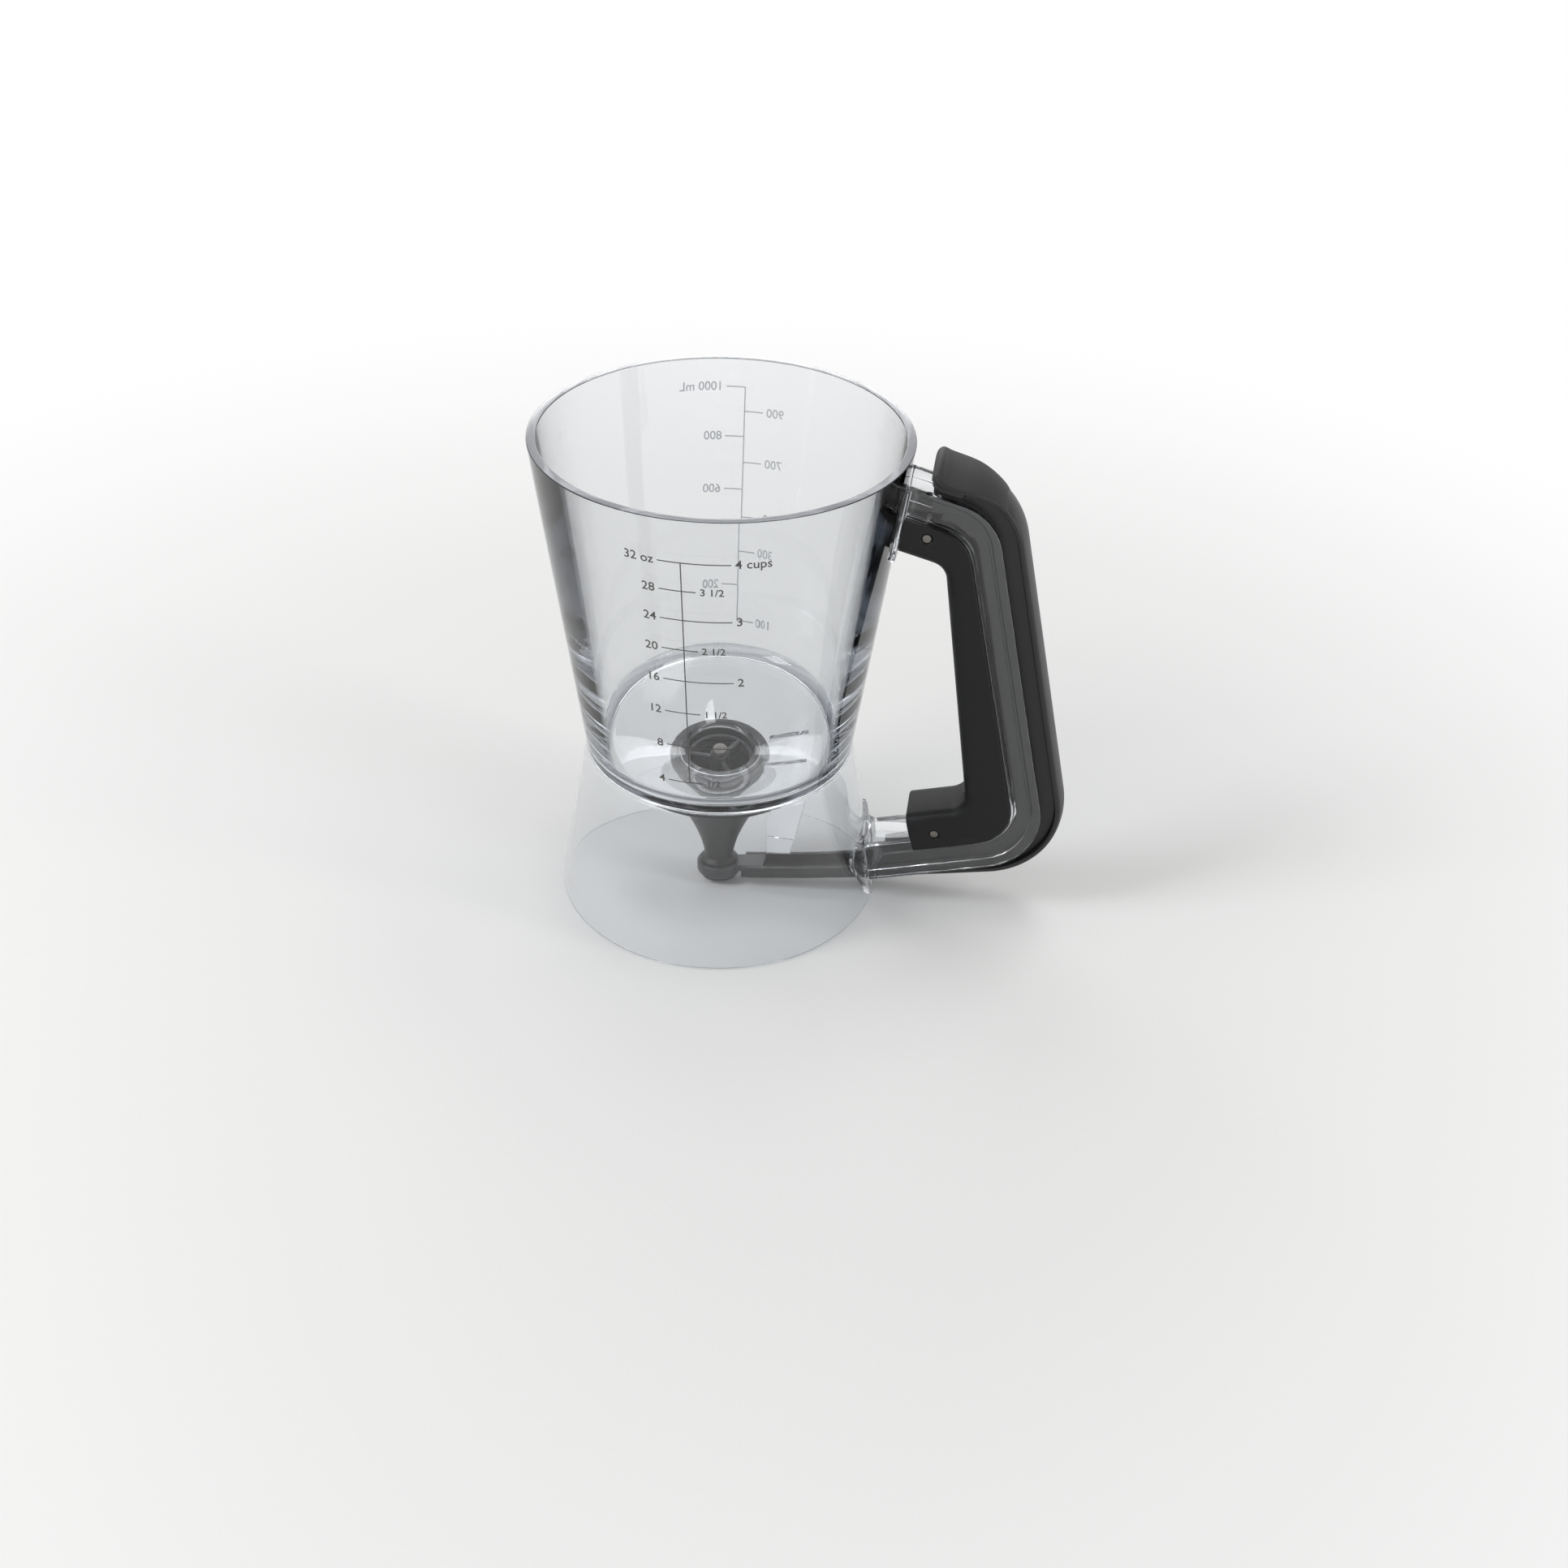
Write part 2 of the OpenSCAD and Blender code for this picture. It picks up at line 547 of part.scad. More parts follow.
// Rigid C-shaped lever: an open-backed box with ribs, lugs round the pivot pin, slotted
// lugs round the stop pin, a wing plate for the thumb and the arm into the base
module lever() color([0.1, 0.1, 0.1]) difference() {
    union() {
        difference() {
            plate(lever_w) polygon(lever_outline(0, 0, lever_in, 0, arm_x));
            difference() {
                plate(slot_in_w)
                    polygon(lever_outline(lever_back, arm_floor, lever_in + 1, 1, arm_x - 1));
                for (s = [rib_pitch / 2:rib_pitch:norm(spine_foot - spine_top)])
                    along(spine_top + s * unit(spine[1]), spine[1])
                        translate([-rib_t / 2, -lever_w / 2, -far / 2]) cube([rib_t, lever_w, far]);
            }
        }
        for (side = [-1, 1], lug = [pivot_lug, stop_lug])
            translate([0, side * (lever_w - lever_wall) / 2, 0]) plate(lever_wall) polygon(lug);
        along(pad_start, lever_lines[0][1])
            translate([1, -pad_w / 2 + 2, -wing_t - 0.1]) cube([pad_len - 1, pad_w - 4, wing_t]);
    }
    cross_bar(pivot, pin_r + run_gap, far);
    plate(far) {
        translate(stop) circle(r = slot_r);
        translate(far_stop) circle(r = slot_r);
        translate(stop) rotate(stop_dir)
            translate([0, -slot_r]) square([norm(far_stop - stop), 2 * slot_r]);
    }
}

// Soft crowned band on the lever's back, for the palm. On the lower run it passes
// between the channel's side walls, and is narrow where the lever's swing meets them
band_profile = concat(
    [[fit_gap, -band_w / 2], [fit_gap, band_w / 2]],
    [for (i = [0:12]) let (t = 1 - i / 6)
        [band_edge + (band_t - band_edge) * (1 - t * t), t * band_w / 2]]);
module palm_band() color([0.16, 0.16, 0.16]) difference() {
    swept(lever_lines, lever_bends, undef, shoulder_x + fit_gap, band_profile);
    for (side = [-1, 1], a = [0, press_angle])
        translate([pivot[0], side * (lever_w + far) / 2, pivot[1]]) rotate([0, a, 0])
            translate([-pivot[0], 0, -pivot[1]])
                plate(far) polygon(concat(lip_path(-wall_gap), reversed(lip_path(web_in))));
}

// Soft thumb pad, as wide as a thumb, crowned like the palm band, with a rolled lip at
// the jug's side and wide rounded corners
pad_edge = band_edge + 0.3;
pad_profile = concat([[0, -pad_w / 2], [0, pad_w / 2]],
    [for (i = [0:12]) let (t = 1 - i / 6)
        [pad_edge + (band_t - pad_edge) * (1 - t * t), t * pad_w / 2]]);
module thumb_pad() color([0.22, 0.22, 0.22]) along(pad_start, lever_lines[0][1]) {
    intersection() {
        linear_extrude(far) polygon(concat(
            quarter([5, 5 - pad_w / 2], 5, 180),
            quarter([pad_len - fit_gap - 5, 5 - pad_w / 2], 5, 270),
            quarter([pad_len - fit_gap - 5, pad_w / 2 - 5], 5, 0),
            quarter([5, pad_w / 2 - 5], 5, 90)));
        rotate([90, 0, 90]) linear_extrude(pad_len)
            polygon([for (v = pad_profile) [v[1], v[0]]]);
    }
    translate([pad_lip_r, 0, band_t - 0.4]) rotate([90, 0, 0])
        cylinder(r = pad_lip_r, h = pad_w - 10, center = true);
}

// Rigid collar that holds the nozzle's tip; its tongue fills the end of the arm
tongue_lift = arm_floor + fit_gap;
module nozzle_collar() color([0.14, 0.14, 0.14]) difference() {
    union() {
        translate([0, 0, collar_z]) cylinder(r = collar_r, h = collar_h);
        plate(slot_in_w - 2 * fit_gap) polygon([
            [0, arm_low(0) + tongue_lift], [tongue_x, arm_low(tongue_x) + tongue_lift],
            [tongue_x, arm_top(tongue_x)], [arm_x, arm_top(arm_x)],
            [tip_bead_r + 0.4, collar_z + collar_h], [0, collar_z + collar_h]]);
    }
    translate([0, 0, -1]) cylinder(r = collar_in_r, h = far);
}

// Silicone nozzle: cuff over the spigot, funnel, neck, and the grooved tip whose
// tapered seat closes on the plug
neck_z = collar_z + collar_h + 0.15 + tip_bead_h;
cuff_z = spigot_z - 2;
function funnel(r0, r1, z0, z1) = [for (i = [0:10]) let (t = i / 10)
    [r0 + (r1 - r0) * pow(t, funnel_curve), z0 + (z1 - z0) * t]];
module nozzle() color([0.2, 0.2, 0.2]) rotate_extrude() polygon(concat([
    [exit_r, tip_z], [tip_bead_r - 0.5, tip_z], [tip_bead_r, tip_z + 0.5],
    [tip_bead_r, tip_z + tip_bead_h], [groove_r, tip_z + tip_bead_h],
    [groove_r, neck_z - tip_bead_h], [tip_bead_r, neck_z - tip_bead_h],
    [tip_bead_r, neck_z - 0.6]],
    funnel(neck_r, cuff_r + cuff_wall, neck_z + 0.6, cuff_z),
    [[cuff_r + cuff_wall, spigot_z + bead_h + clamp_h - 1],
     [cuff_r, spigot_z + bead_h + clamp_h - 1], [cuff_r, spigot_z + bead_h + fit_gap],
     [cuff_r + bead_out, spigot_z + 0.4], [cuff_r + bead_out - 0.4, spigot_z - fit_gap]],
    reversed(funnel(neck_r - nozzle_wall + 0.2, outlet_r, neck_z + 0.6, spigot_z - fit_gap)),
    [[pocket_r, collar_z + collar_h], [pocket_r, tip_z + seat_h]]));

// Ring that clamps the cuff on the spigot
module nozzle_clamp() color([0.3, 0.3, 0.3]) translate([0, 0, spigot_z + bead_h + 0.6])
    difference() {
        cylinder(r = cuff_r + cuff_wall + clamp_wall, h = clamp_h - 2);
        translate([0, 0, -1]) cylinder(r = cuff_r + cuff_wall + fit_gap, h = clamp_h + 2);
    }

// Three-legged spider pressed into the outlet; it carries the plug's stem
spider_z = spigot_z + 1;
module outlet_spider() color([0.3, 0.3, 0.3]) difference() {
    union() {
        difference() {
            translate([0, 0, spider_z]) cylinder(r = outlet_r - fit_gap, h = spider_h);
            translate([0, 0, spider_z - 1]) cylinder(r = outlet_r - 1.5, h = spider_h + 2);
        }
        for (a = [60, 180, 300]) rotate(a)
            translate([0, -leg_w / 2, spider_z]) cube([outlet_r - 1, leg_w, spider_h]);
        translate([0, 0, spider_z]) cylinder(r = hub_r, h = spider_h + 1.5);
    }
    translate([0, 0, spider_z - 1]) cylinder(r = stem_r + 0.02, h = spider_h + 4);
}

// Stem with the tapered plug that closes the nozzle's seat
seat_slope = (pocket_r - exit_r) / seat_h;
plug_z = tip_z + (plug_r + seat_gap - exit_r) / seat_slope;
plug_h = 1.6;
plug_cone = 2.4;
stem_top = spider_z + spider_h + 1.5;
module valve_stem() color([0.75, 0.75, 0.75]) rotate_extrude() polygon([
    [0, tip_z + 0.3], [exit_r + seat_slope * 0.3 - seat_gap, tip_z + 0.3], [plug_r, plug_z],
    [plug_r, plug_z + plug_h], [stem_r, plug_z + plug_h + plug_cone], [stem_r, stem_top + fit_gap],
    [hub_r - 0.4, stem_top + fit_gap], [hub_r - 0.8, stem_top + 2], [0, stem_top + 3]]);

jug_body();
handle_frame();
inner_grip();
pivot_pin();
stop_pin();
return_spring();
lever();
palm_band();
thumb_pad();
nozzle_collar();
nozzle();
nozzle_clamp();
outlet_spider();
valve_stem();
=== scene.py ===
# %% [markdown]
# # A batter dispenser in clear plastic
# A clear hourglass jug with a funnel floor, a soft nozzle under it and a C-shaped
# squeeze lever in a clear channel handle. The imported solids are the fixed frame: they
# say where each piece is and which body it rides on. Each cell dresses one piece.

# %% Load the frame
import json
import math

import bmesh
import bpy
from mathutils import Euler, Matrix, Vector

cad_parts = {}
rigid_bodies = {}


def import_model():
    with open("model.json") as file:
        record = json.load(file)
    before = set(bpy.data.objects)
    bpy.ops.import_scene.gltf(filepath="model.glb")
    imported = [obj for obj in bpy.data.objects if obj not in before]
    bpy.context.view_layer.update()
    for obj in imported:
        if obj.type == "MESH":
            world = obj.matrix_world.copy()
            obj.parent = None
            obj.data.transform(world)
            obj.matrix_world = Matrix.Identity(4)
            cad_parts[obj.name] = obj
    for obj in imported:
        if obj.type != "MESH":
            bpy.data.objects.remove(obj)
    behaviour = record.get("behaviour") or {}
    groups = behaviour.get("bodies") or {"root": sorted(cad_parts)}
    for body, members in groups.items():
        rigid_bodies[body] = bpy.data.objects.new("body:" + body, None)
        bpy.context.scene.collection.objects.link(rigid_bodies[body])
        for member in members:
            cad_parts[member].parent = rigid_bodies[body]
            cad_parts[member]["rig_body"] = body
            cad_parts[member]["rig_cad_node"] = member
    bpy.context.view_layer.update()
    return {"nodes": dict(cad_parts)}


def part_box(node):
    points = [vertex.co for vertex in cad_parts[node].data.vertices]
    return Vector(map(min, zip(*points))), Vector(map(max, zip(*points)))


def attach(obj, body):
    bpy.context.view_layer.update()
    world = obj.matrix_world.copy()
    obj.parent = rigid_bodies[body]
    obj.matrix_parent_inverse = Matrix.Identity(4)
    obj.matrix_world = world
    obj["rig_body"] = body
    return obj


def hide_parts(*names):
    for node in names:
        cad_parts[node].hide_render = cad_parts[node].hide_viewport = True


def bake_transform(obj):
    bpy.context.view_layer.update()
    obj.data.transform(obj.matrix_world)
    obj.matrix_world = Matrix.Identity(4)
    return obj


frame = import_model()
MM = 0.001
scene = bpy.context.scene

# %% [markdown]
# ## The studio
# A pale floor, a white surround and four large soft lamps. Clear plastic has no colour
# of its own, so it is drawn by what stands round it: the surround is white where the
# camera looks straight at it, and greyer overhead in reflections, which gives the rims
# and edges their darker lines.

# %% The camera
bpy.ops.object.camera_add(location=(0.09934, -0.58116, 0.45734))
camera = bpy.context.object
# The camera's own right and up directions; the third axis follows from them.
right = Vector((0.9890849, 0.1452309, 0.0248815))
up = Vector((-0.1039218, 0.5678595, 0.8165390))
axes = (right, up, right.cross(up))
camera.rotation_euler = Euler((math.atan2(axes[1].z, axes[2].z), math.asin(-axes[0].z),
                               math.atan2(axes[0].y, axes[0].x)))
camera.data.sensor_width = 36
camera.data.lens = 44.05
camera.data.clip_start, camera.data.clip_end = 0.01, 50
scene.camera = camera
scene.view_settings.view_transform = "Standard"
# Light runs along inside a clear wall by many inner reflections before it comes out.
scene.cycles.max_bounces = 32
scene.cycles.glossy_bounces = 16
scene.cycles.transmission_bounces = 24
print("camera at", tuple(round(v, 3) for v in camera.location))

# %% Colours and nodes for every finish
def hex_colour(code):
    """A colour written as #rrggbb, turned from sRGB to linear."""
    parts = [int(code[i:i + 2], 16) / 255 for i in (1, 3, 5)]
    return tuple(p / 12.92 if p <= 0.04045 else ((p + 0.055) / 1.055) ** 2.4 for p in parts) + (1,)


def add_node(tree, kind, inputs=None, **settings):
    """Add a node; inputs holds a value, or another node's socket, for each of its sockets."""
    node = tree.nodes.new(kind)
    for name, value in settings.items():
        setattr(node, name, value)
    for name, value in (inputs or {}).items():
        if isinstance(value, bpy.types.NodeSocket):
            tree.links.new(value, node.inputs[name])
        else:
            node.inputs[name].default_value = value
    return node


def new_finish(name):
    """An empty material, its node tree and its output."""
    material = bpy.data.materials.new(name)
    material.use_nodes = True
    tree = material.node_tree
    tree.nodes.clear()
    return material, tree, add_node(tree, "ShaderNodeOutputMaterial")


def looked_at(tree):
    """1 where the camera sees straight, in a reflection or through clear plastic, else 0."""
    ray = add_node(tree, "ShaderNodeLightPath")
    bent = add_node(tree, "ShaderNodeMath", {0: ray.outputs["Is Glossy Ray"],
                                             1: ray.outputs["Is Transmission Ray"]},
                    operation="MAXIMUM")
    seen = add_node(tree, "ShaderNodeMath", {0: bent.outputs[0], 1: ray.outputs["Is Camera Ray"]},
                    operation="MAXIMUM")
    not_lit = add_node(tree, "ShaderNodeMath", {0: ray.outputs["Diffuse Depth"], 1: 0.5},
                       operation="LESS_THAN")
    return add_node(tree, "ShaderNodeMath", {0: seen.outputs[0], 1: not_lit.outputs[0]},
                    operation="MULTIPLY").outputs[0]


# %% [markdown]
# ## The floor and the lamps
# The floor is paper near the object, where it holds the shadow, and fades to plain white
# farther out, so that it has no edge. The lamps are large for soft edges, and weak enough
# that the pale floor stays below white. The key lamp is at the upper left, a weaker one at
# the right lights the handle, one overhead puts a soft sheen on the covers, and one behind
# draws bright lines in the clear walls.

# %% The floor
bpy.ops.mesh.primitive_plane_add(size=12)
floor = bpy.context.object
floor.name = "studio_floor"
matte_paper, tree, output = new_finish("matte white studio paper")
place = add_node(tree, "ShaderNodeTexCoord").outputs["Object"]
fibre = add_node(tree, "ShaderNodeTexNoise", {"Vector": place, "Scale": 900, "Detail": 3})
tint = add_node(tree, "ShaderNodeMix", {"Factor": fibre.outputs["Fac"], "A": hex_colour("#f1f1f0"),
                                        "B": hex_colour("#f5f5f4")}, data_type="RGBA")
paper = add_node(tree, "ShaderNodeBsdfPrincipled", {"Base Color": tint.outputs["Result"],
                                                    "Roughness": 0.9, "Specular IOR Level": 0.2})
reach = add_node(tree, "ShaderNodeVectorMath", {0: place}, operation="LENGTH")
away = add_node(tree, "ShaderNodeMapRange", {"Value": reach.outputs["Value"], "From Min": 0.14,
                                             "From Max": 0.6}, interpolation_type="SMOOTHSTEP")
share = add_node(tree, "ShaderNodeMath", {0: looked_at(tree), 1: away.outputs[0]},
                 operation="MULTIPLY")
white = add_node(tree, "ShaderNodeEmission", {"Color": (1, 1, 1, 1), "Strength": 1.0})
sweep = add_node(tree, "ShaderNodeMixShader", {0: share.outputs[0], 1: paper.outputs[0],
                                               2: white.outputs[0]})
tree.links.new(sweep.outputs[0], output.inputs["Surface"])
floor.data.materials.append(matte_paper)
print("floor:", floor.name, "in", matte_paper.name)

# %% The surround
world = bpy.data.worlds.new("studio")
scene.world = world
world.use_nodes = True
tree = world.node_tree
tree.nodes.clear()
ray = add_node(tree, "ShaderNodeLightPath")
way = add_node(tree, "ShaderNodeTexCoord").outputs["Generated"]
height = add_node(tree, "ShaderNodeSeparateXYZ", {0: way}).outputs["Z"]
through = add_node(tree, "ShaderNodeMapRange", {"Value": height, "From Min": 0.25,
                                                "From Max": 0.9, "To Min": 1.0, "To Max": 0.8})
mirrored = add_node(tree, "ShaderNodeMapRange", {"Value": height, "From Min": 0.05,
                                                 "From Max": 0.65, "To Min": 1.0, "To Max": 0.3})
ceiling = add_node(tree, "ShaderNodeMix", {"Factor": ray.outputs["Is Glossy Ray"],
                                           "A": through.outputs[0], "B": mirrored.outputs[0]})
# As a light the surround is weak, so that the lamps shape the object.
strength = add_node(tree, "ShaderNodeMix", {"Factor": looked_at(tree), "A": 0.35,
                                            "B": ceiling.outputs[0]})
strength = add_node(tree, "ShaderNodeMix", {"Factor": ray.outputs["Is Camera Ray"],
                                            "A": strength.outputs[0], "B": 1.0})
sky = add_node(tree, "ShaderNodeBackground", {"Color": (1, 1, 1, 1),
                                              "Strength": strength.outputs[0]})
tree.links.new(sky.outputs[0], add_node(tree, "ShaderNodeOutputWorld").inputs["Surface"])
print("surround:", world.name)


# %% The lamps
def soft_lamp(name, place, size, watts, aim=(0, 0, 0.09)):
    """A rectangular area lamp turned towards the object."""
    bpy.ops.object.light_add(type="AREA", location=place)
    lamp = bpy.context.object
    lamp.name = name
    lamp.data.shape = "RECTANGLE"
    lamp.data.size, lamp.data.size_y = size
    lamp.data.energy = watts
    lamp.rotation_euler = (Vector(aim) - Vector(place)).to_track_quat("-Z", "Y").to_euler()


soft_lamp("key_lamp", (-0.7, -0.4, 0.8), (0.35, 0.55), 5.0)
soft_lamp("side_lamp", (0.85, -0.2, 0.45), (0.12, 0.7), 2.0)
soft_lamp("top_lamp", (0.25, 0.2, 1.0), (0.5, 0.25), 1.9)
soft_lamp("back_lamp", (-0.25, 0.95, 0.5), (0.9, 0.2), 2.1)

# %% [markdown]
# ## Clear moulded copolyester
# The jug and the handle frame are injection moulded in a clear, tough plastic. Its
# index is about 1.54, its skin is glossy with faint flow waves, and it swallows a little
# light: a wall 3 mm thick looks clear, while a rim seen edge on looks grey. The path
# through the plastic does this by itself, so the absorption is set in the volume. Lamps
# shine through a clear wall, so shadow rays pass.

# %% Clear plastic
clear, tree, output = new_finish("clear copolyester, injection moulded")
place = add_node(tree, "ShaderNodeTexCoord").outputs["Object"]
flow = add_node(tree, "ShaderNodeTexNoise", {"Vector": place, "Scale": 1 / (14 * MM), "Detail": 1})
bump = add_node(tree, "ShaderNodeBump", {"Height": flow.outputs["Fac"], "Strength": 0.05,
                                         "Distance": 0.4 * MM})
plastic = add_node(tree, "ShaderNodeBsdfPrincipled", {
    "Base Color": hex_colour("#fafbfc"), "Transmission Weight": 1.0, "Roughness": 0.012,
    "IOR": 1.54, "Normal": bump.outputs[0]})
passing = add_node(tree, "ShaderNodeBsdfTransparent", {"Color": hex_colour("#f4f5f6")})
ray = add_node(tree, "ShaderNodeLightPath")
skin = add_node(tree, "ShaderNodeMixShader", {0: ray.outputs["Is Diffuse Ray"],
                                              1: plastic.outputs[0], 2: passing.outputs[0]})
skin = add_node(tree, "ShaderNodeMixShader", {0: ray.outputs["Is Shadow Ray"],
                                              1: skin.outputs[0], 2: passing.outputs[0]})
haze = add_node(tree, "ShaderNodeVolumeAbsorption", {"Color": hex_colour("#cdd0d5"),
                                                     "Density": 34.0})
tree.links.new(skin.outputs[0], output.inputs["Surface"])
tree.links.new(haze.outputs[0], output.inputs["Volume"])
print("finish:", clear.name)

# %% [markdown]
# The flat top of the rim looks into the wall end on. The light that comes out there has
# run down and up inside the wall for centimetres, so the rim is a grey, slightly violet
# band. That long path is more than a renderer follows, so this shade is painted: the rim
# gets a grey, slightly violet colour of its own.

# %% Rim of the clear plastic
rim_painted_shade, tree, output = new_finish("clear copolyester, rim with painted end-on shade")
place = add_node(tree, "ShaderNodeTexCoord").outputs["Object"]
cloud = add_node(tree, "ShaderNodeTexNoise", {"Vector": place, "Scale": 1 / (18 * MM), "Detail": 2})
# Painted shade: the grey, slightly violet tone that light run long inside the wall gives the rim,
# in soft clouds.
tone = add_node(tree, "ShaderNodeMix", {"Factor": cloud.outputs["Fac"], "A": hex_colour("#b2b4bd"),
                                        "B": hex_colour("#dadbe0")}, data_type="RGBA")
end_on = add_node(tree, "ShaderNodeBsdfPrincipled", {
    "Base Color": tone.outputs["Result"], "Transmission Weight": 0.5, "Roughness": 0.12,
    "IOR": 1.54})
tree.links.new(end_on.outputs[0], output.inputs["Surface"])
print("finish:", rim_painted_shade.name)

# %% [markdown]
# ## Tools for shaping
# Round pieces are turned, as on a lathe: a profile is drawn point by point, by extruding
# one vertex, and spun round the axis. Corners get their true radius as they are drawn.

# %% Start clean and draw outlines
SAME_POINT = 1e-7  # metres
NEARLY_STRAIGHT = 1e-4  # radians


def rest_selection():
    """Leave edit mode and select nothing, so that the next step starts clean."""
    if bpy.context.object and bpy.context.object.mode == "EDIT":
        bpy.ops.object.mode_set(mode="OBJECT")
    bpy.ops.object.select_all(action="DESELECT")


def rounded(corners, steps=6):
    """Corners are (x, z, radius) in millimetres; each is replaced by an arc of that radius."""
    drawn = []
    for i, (x, z, radius) in enumerate(corners):
        here = Vector((x, z))
        back = Vector(corners[i - 1][:2]) - here
        on = Vector(corners[(i + 1) % len(corners)][:2]) - here
        half = back.angle(on, 0) / 2
        if not radius or half < NEARLY_STRAIGHT or abs(half - math.pi / 2) < NEARLY_STRAIGHT:
            drawn.append(tuple(here))
            continue
        back.normalize()
        on.normalize()
        centre = here + (back + on).normalized() * radius / math.sin(half)
        first = here + back * radius / math.tan(half) - centre
        turn = first.angle_signed(here + on * radius / math.tan(half) - centre)
        for k in range(steps + 1):
            a = -turn * k / steps
            drawn.append((centre.x + first.x * math.cos(a) - first.y * math.sin(a),
                          centre.y + first.x * math.sin(a) + first.y * math.cos(a)))
    return drawn


def draw(name, points, angle=0.0, closed=True):
    """A chain of edges through the points, in the upright plane turned by an angle."""
    rest_selection()
    bpy.ops.mesh.primitive_plane_add(size=MM)
    piece = bpy.context.object
    piece.name = piece.data.name = name
    bpy.ops.object.mode_set(mode="EDIT")
    bpy.ops.mesh.select_mode(type="VERT")
    bpy.ops.mesh.select_all(action="SELECT")
    bpy.ops.mesh.merge(type="CENTER")
    spots = [Vector((x * math.cos(angle), x * math.sin(angle), z)) * MM for x, z in points]
    if closed:
        spots.append(spots[0])
    bpy.ops.transform.translate(value=spots[0])
    for here, there in zip(spots, spots[1:]):
        bpy.ops.mesh.extrude_region_move(TRANSFORM_OT_translate={"value": there - here})
    bpy.ops.mesh.select_all(action="SELECT")
    bpy.ops.mesh.remove_doubles(threshold=SAME_POINT)
    return piece


def turned(name, points, steps, angle=0.0, closed=True):
    """Spin a drawn profile once round the jug's axis."""
    piece = draw(name, points, angle, closed)
    bpy.ops.mesh.spin(steps=steps, angle=2 * math.pi, center=(0, 0, 0), axis=(0, 0, 1))
    bpy.ops.mesh.select_all(action="SELECT")
    bpy.ops.mesh.remove_doubles(threshold=SAME_POINT)
    bpy.ops.mesh.normals_make_consistent(inside=False)
    bpy.ops.object.mode_set(mode="OBJECT")
    return piece


# %% [markdown]
# ## The jug
# One clear moulding: the flared container, the funnel floor with its spigot, and the
# flared base. All of it is round, so it is turned in one go. The wall is thick at the
# waist, with a soft inner corner where the floor begins, and a crisp crease outside.

# %% Turn the jug
FOOT_R, WAIST_R, RIM_R = 60, 49, 65
SPIGOT_Z, FLOOR_UNDER_Z, WAIST_Z, RIM_Z = 45.5, 61, 64, 184
WALL, INNER_R, OUTLET_R, SKIRT_R, FLOOR_DROP = 3.2, 45.4, 13, 57.8, 9.6
SLOT_LOW, SLOT_TOP, SLOT_HALF = 6.8, 23.7, 6.4


def outside_radius(z):
    """The outer face: the skirt below the waist, the container above it."""
    if z < WAIST_Z:
        return FOOT_R - (FOOT_R - WAIST_R) * z / WAIST_Z
    return WAIST_R + (RIM_R - WAIST_R) * (z - WAIST_Z) / (RIM_Z - WAIST_Z)


def skirt_inside(z):
    """The skirt's inner face, which runs up to the floor's underside."""
    return SKIRT_R - (SKIRT_R - INNER_R) * z / FLOOR_UNDER_Z


def floor_height(r):
    """The funnel floor's upper face, which falls on its way in to the outlet."""
    return WAIST_Z - FLOOR_DROP * (INNER_R - r) / (INNER_R - OUTLET_R)


jug_profile = [
    (FOOT_R, 0, 0.5), (outside_radius(SLOT_LOW), SLOT_LOW, 0),
    (outside_radius(SLOT_TOP), SLOT_TOP, 0), (WAIST_R, WAIST_Z, 1.0), (RIM_R, RIM_Z, 0.3),
    (RIM_R - WALL, RIM_Z, 0.3), (INNER_R, WAIST_Z, 8), (OUTLET_R, 54.4, 1.2),
    (OUTLET_R, SPIGOT_Z, 0.3), (16.6, SPIGOT_Z, 0.4), (15.9, 47.5, 0.3), (15.8, 52.23, 1.0),
    (INNER_R, FLOOR_UNDER_Z, 2.0), (skirt_inside(SLOT_TOP), SLOT_TOP, 0),
    (skirt_inside(SLOT_LOW), SLOT_LOW, 0), (SKIRT_R, 0, 0.5)]
# It starts half a column off the handle's plane, so that the slot's two sides match.
jug = turned("jug_wall", rounded(jug_profile, 8), steps=144, angle=math.radians(1.25))
print("jug turned:", len(jug.data.polygons), "faces")

# %% [markdown]
# The lever's arm enters the base through a slot in the skirt. The rings of the mesh
# already lie at the slot's lower and upper edge, so its faces are deleted inside and
# outside, the sides are drawn to the slot's width, and the two rims are bridged.

# %% Open the slot for the arm
rest_selection()
bpy.context.view_layer.objects.active = jug
jug.select_set(True)
bpy.ops.object.mode_set(mode="EDIT")
bpy.ops.mesh.select_mode(type="FACE")
bpy.ops.mesh.select_all(action="DESELECT")
shape = bmesh.from_edit_mesh(jug.data)
for face in shape.faces:
    middle = face.calc_center_median() / MM
    if middle.x > 0 and abs(middle.y) < SLOT_HALF and SLOT_LOW < middle.z < SLOT_TOP:
        face.select_set(True)
bmesh.update_edit_mesh(jug.data)
bpy.ops.mesh.delete(type="FACE")
bpy.ops.mesh.select_mode(type="EDGE")
bpy.ops.mesh.select_all(action="DESELECT")
shape = bmesh.from_edit_mesh(jug.data)
for edge in shape.edges:
    if edge.is_boundary:
        edge.select_set(True)
for corner in shape.verts:
    if corner.select and abs(corner.co.y) > 0.8 * SLOT_HALF * MM:
        r = corner.co.xy.length
        corner.co.y = math.copysign(SLOT_HALF * MM, corner.co.y)
        corner.co.x = math.sqrt(r * r - corner.co.y ** 2)
bmesh.update_edit_mesh(jug.data)
bpy.ops.mesh.bridge_edge_loops()
bpy.ops.mesh.select_all(action="SELECT")
bpy.ops.mesh.normals_make_consistent(inside=False)
bpy.ops.object.mode_set(mode="OBJECT")
print("slot:", 2 * SLOT_HALF, "mm wide and", round(SLOT_TOP - SLOT_LOW, 1), "mm high")
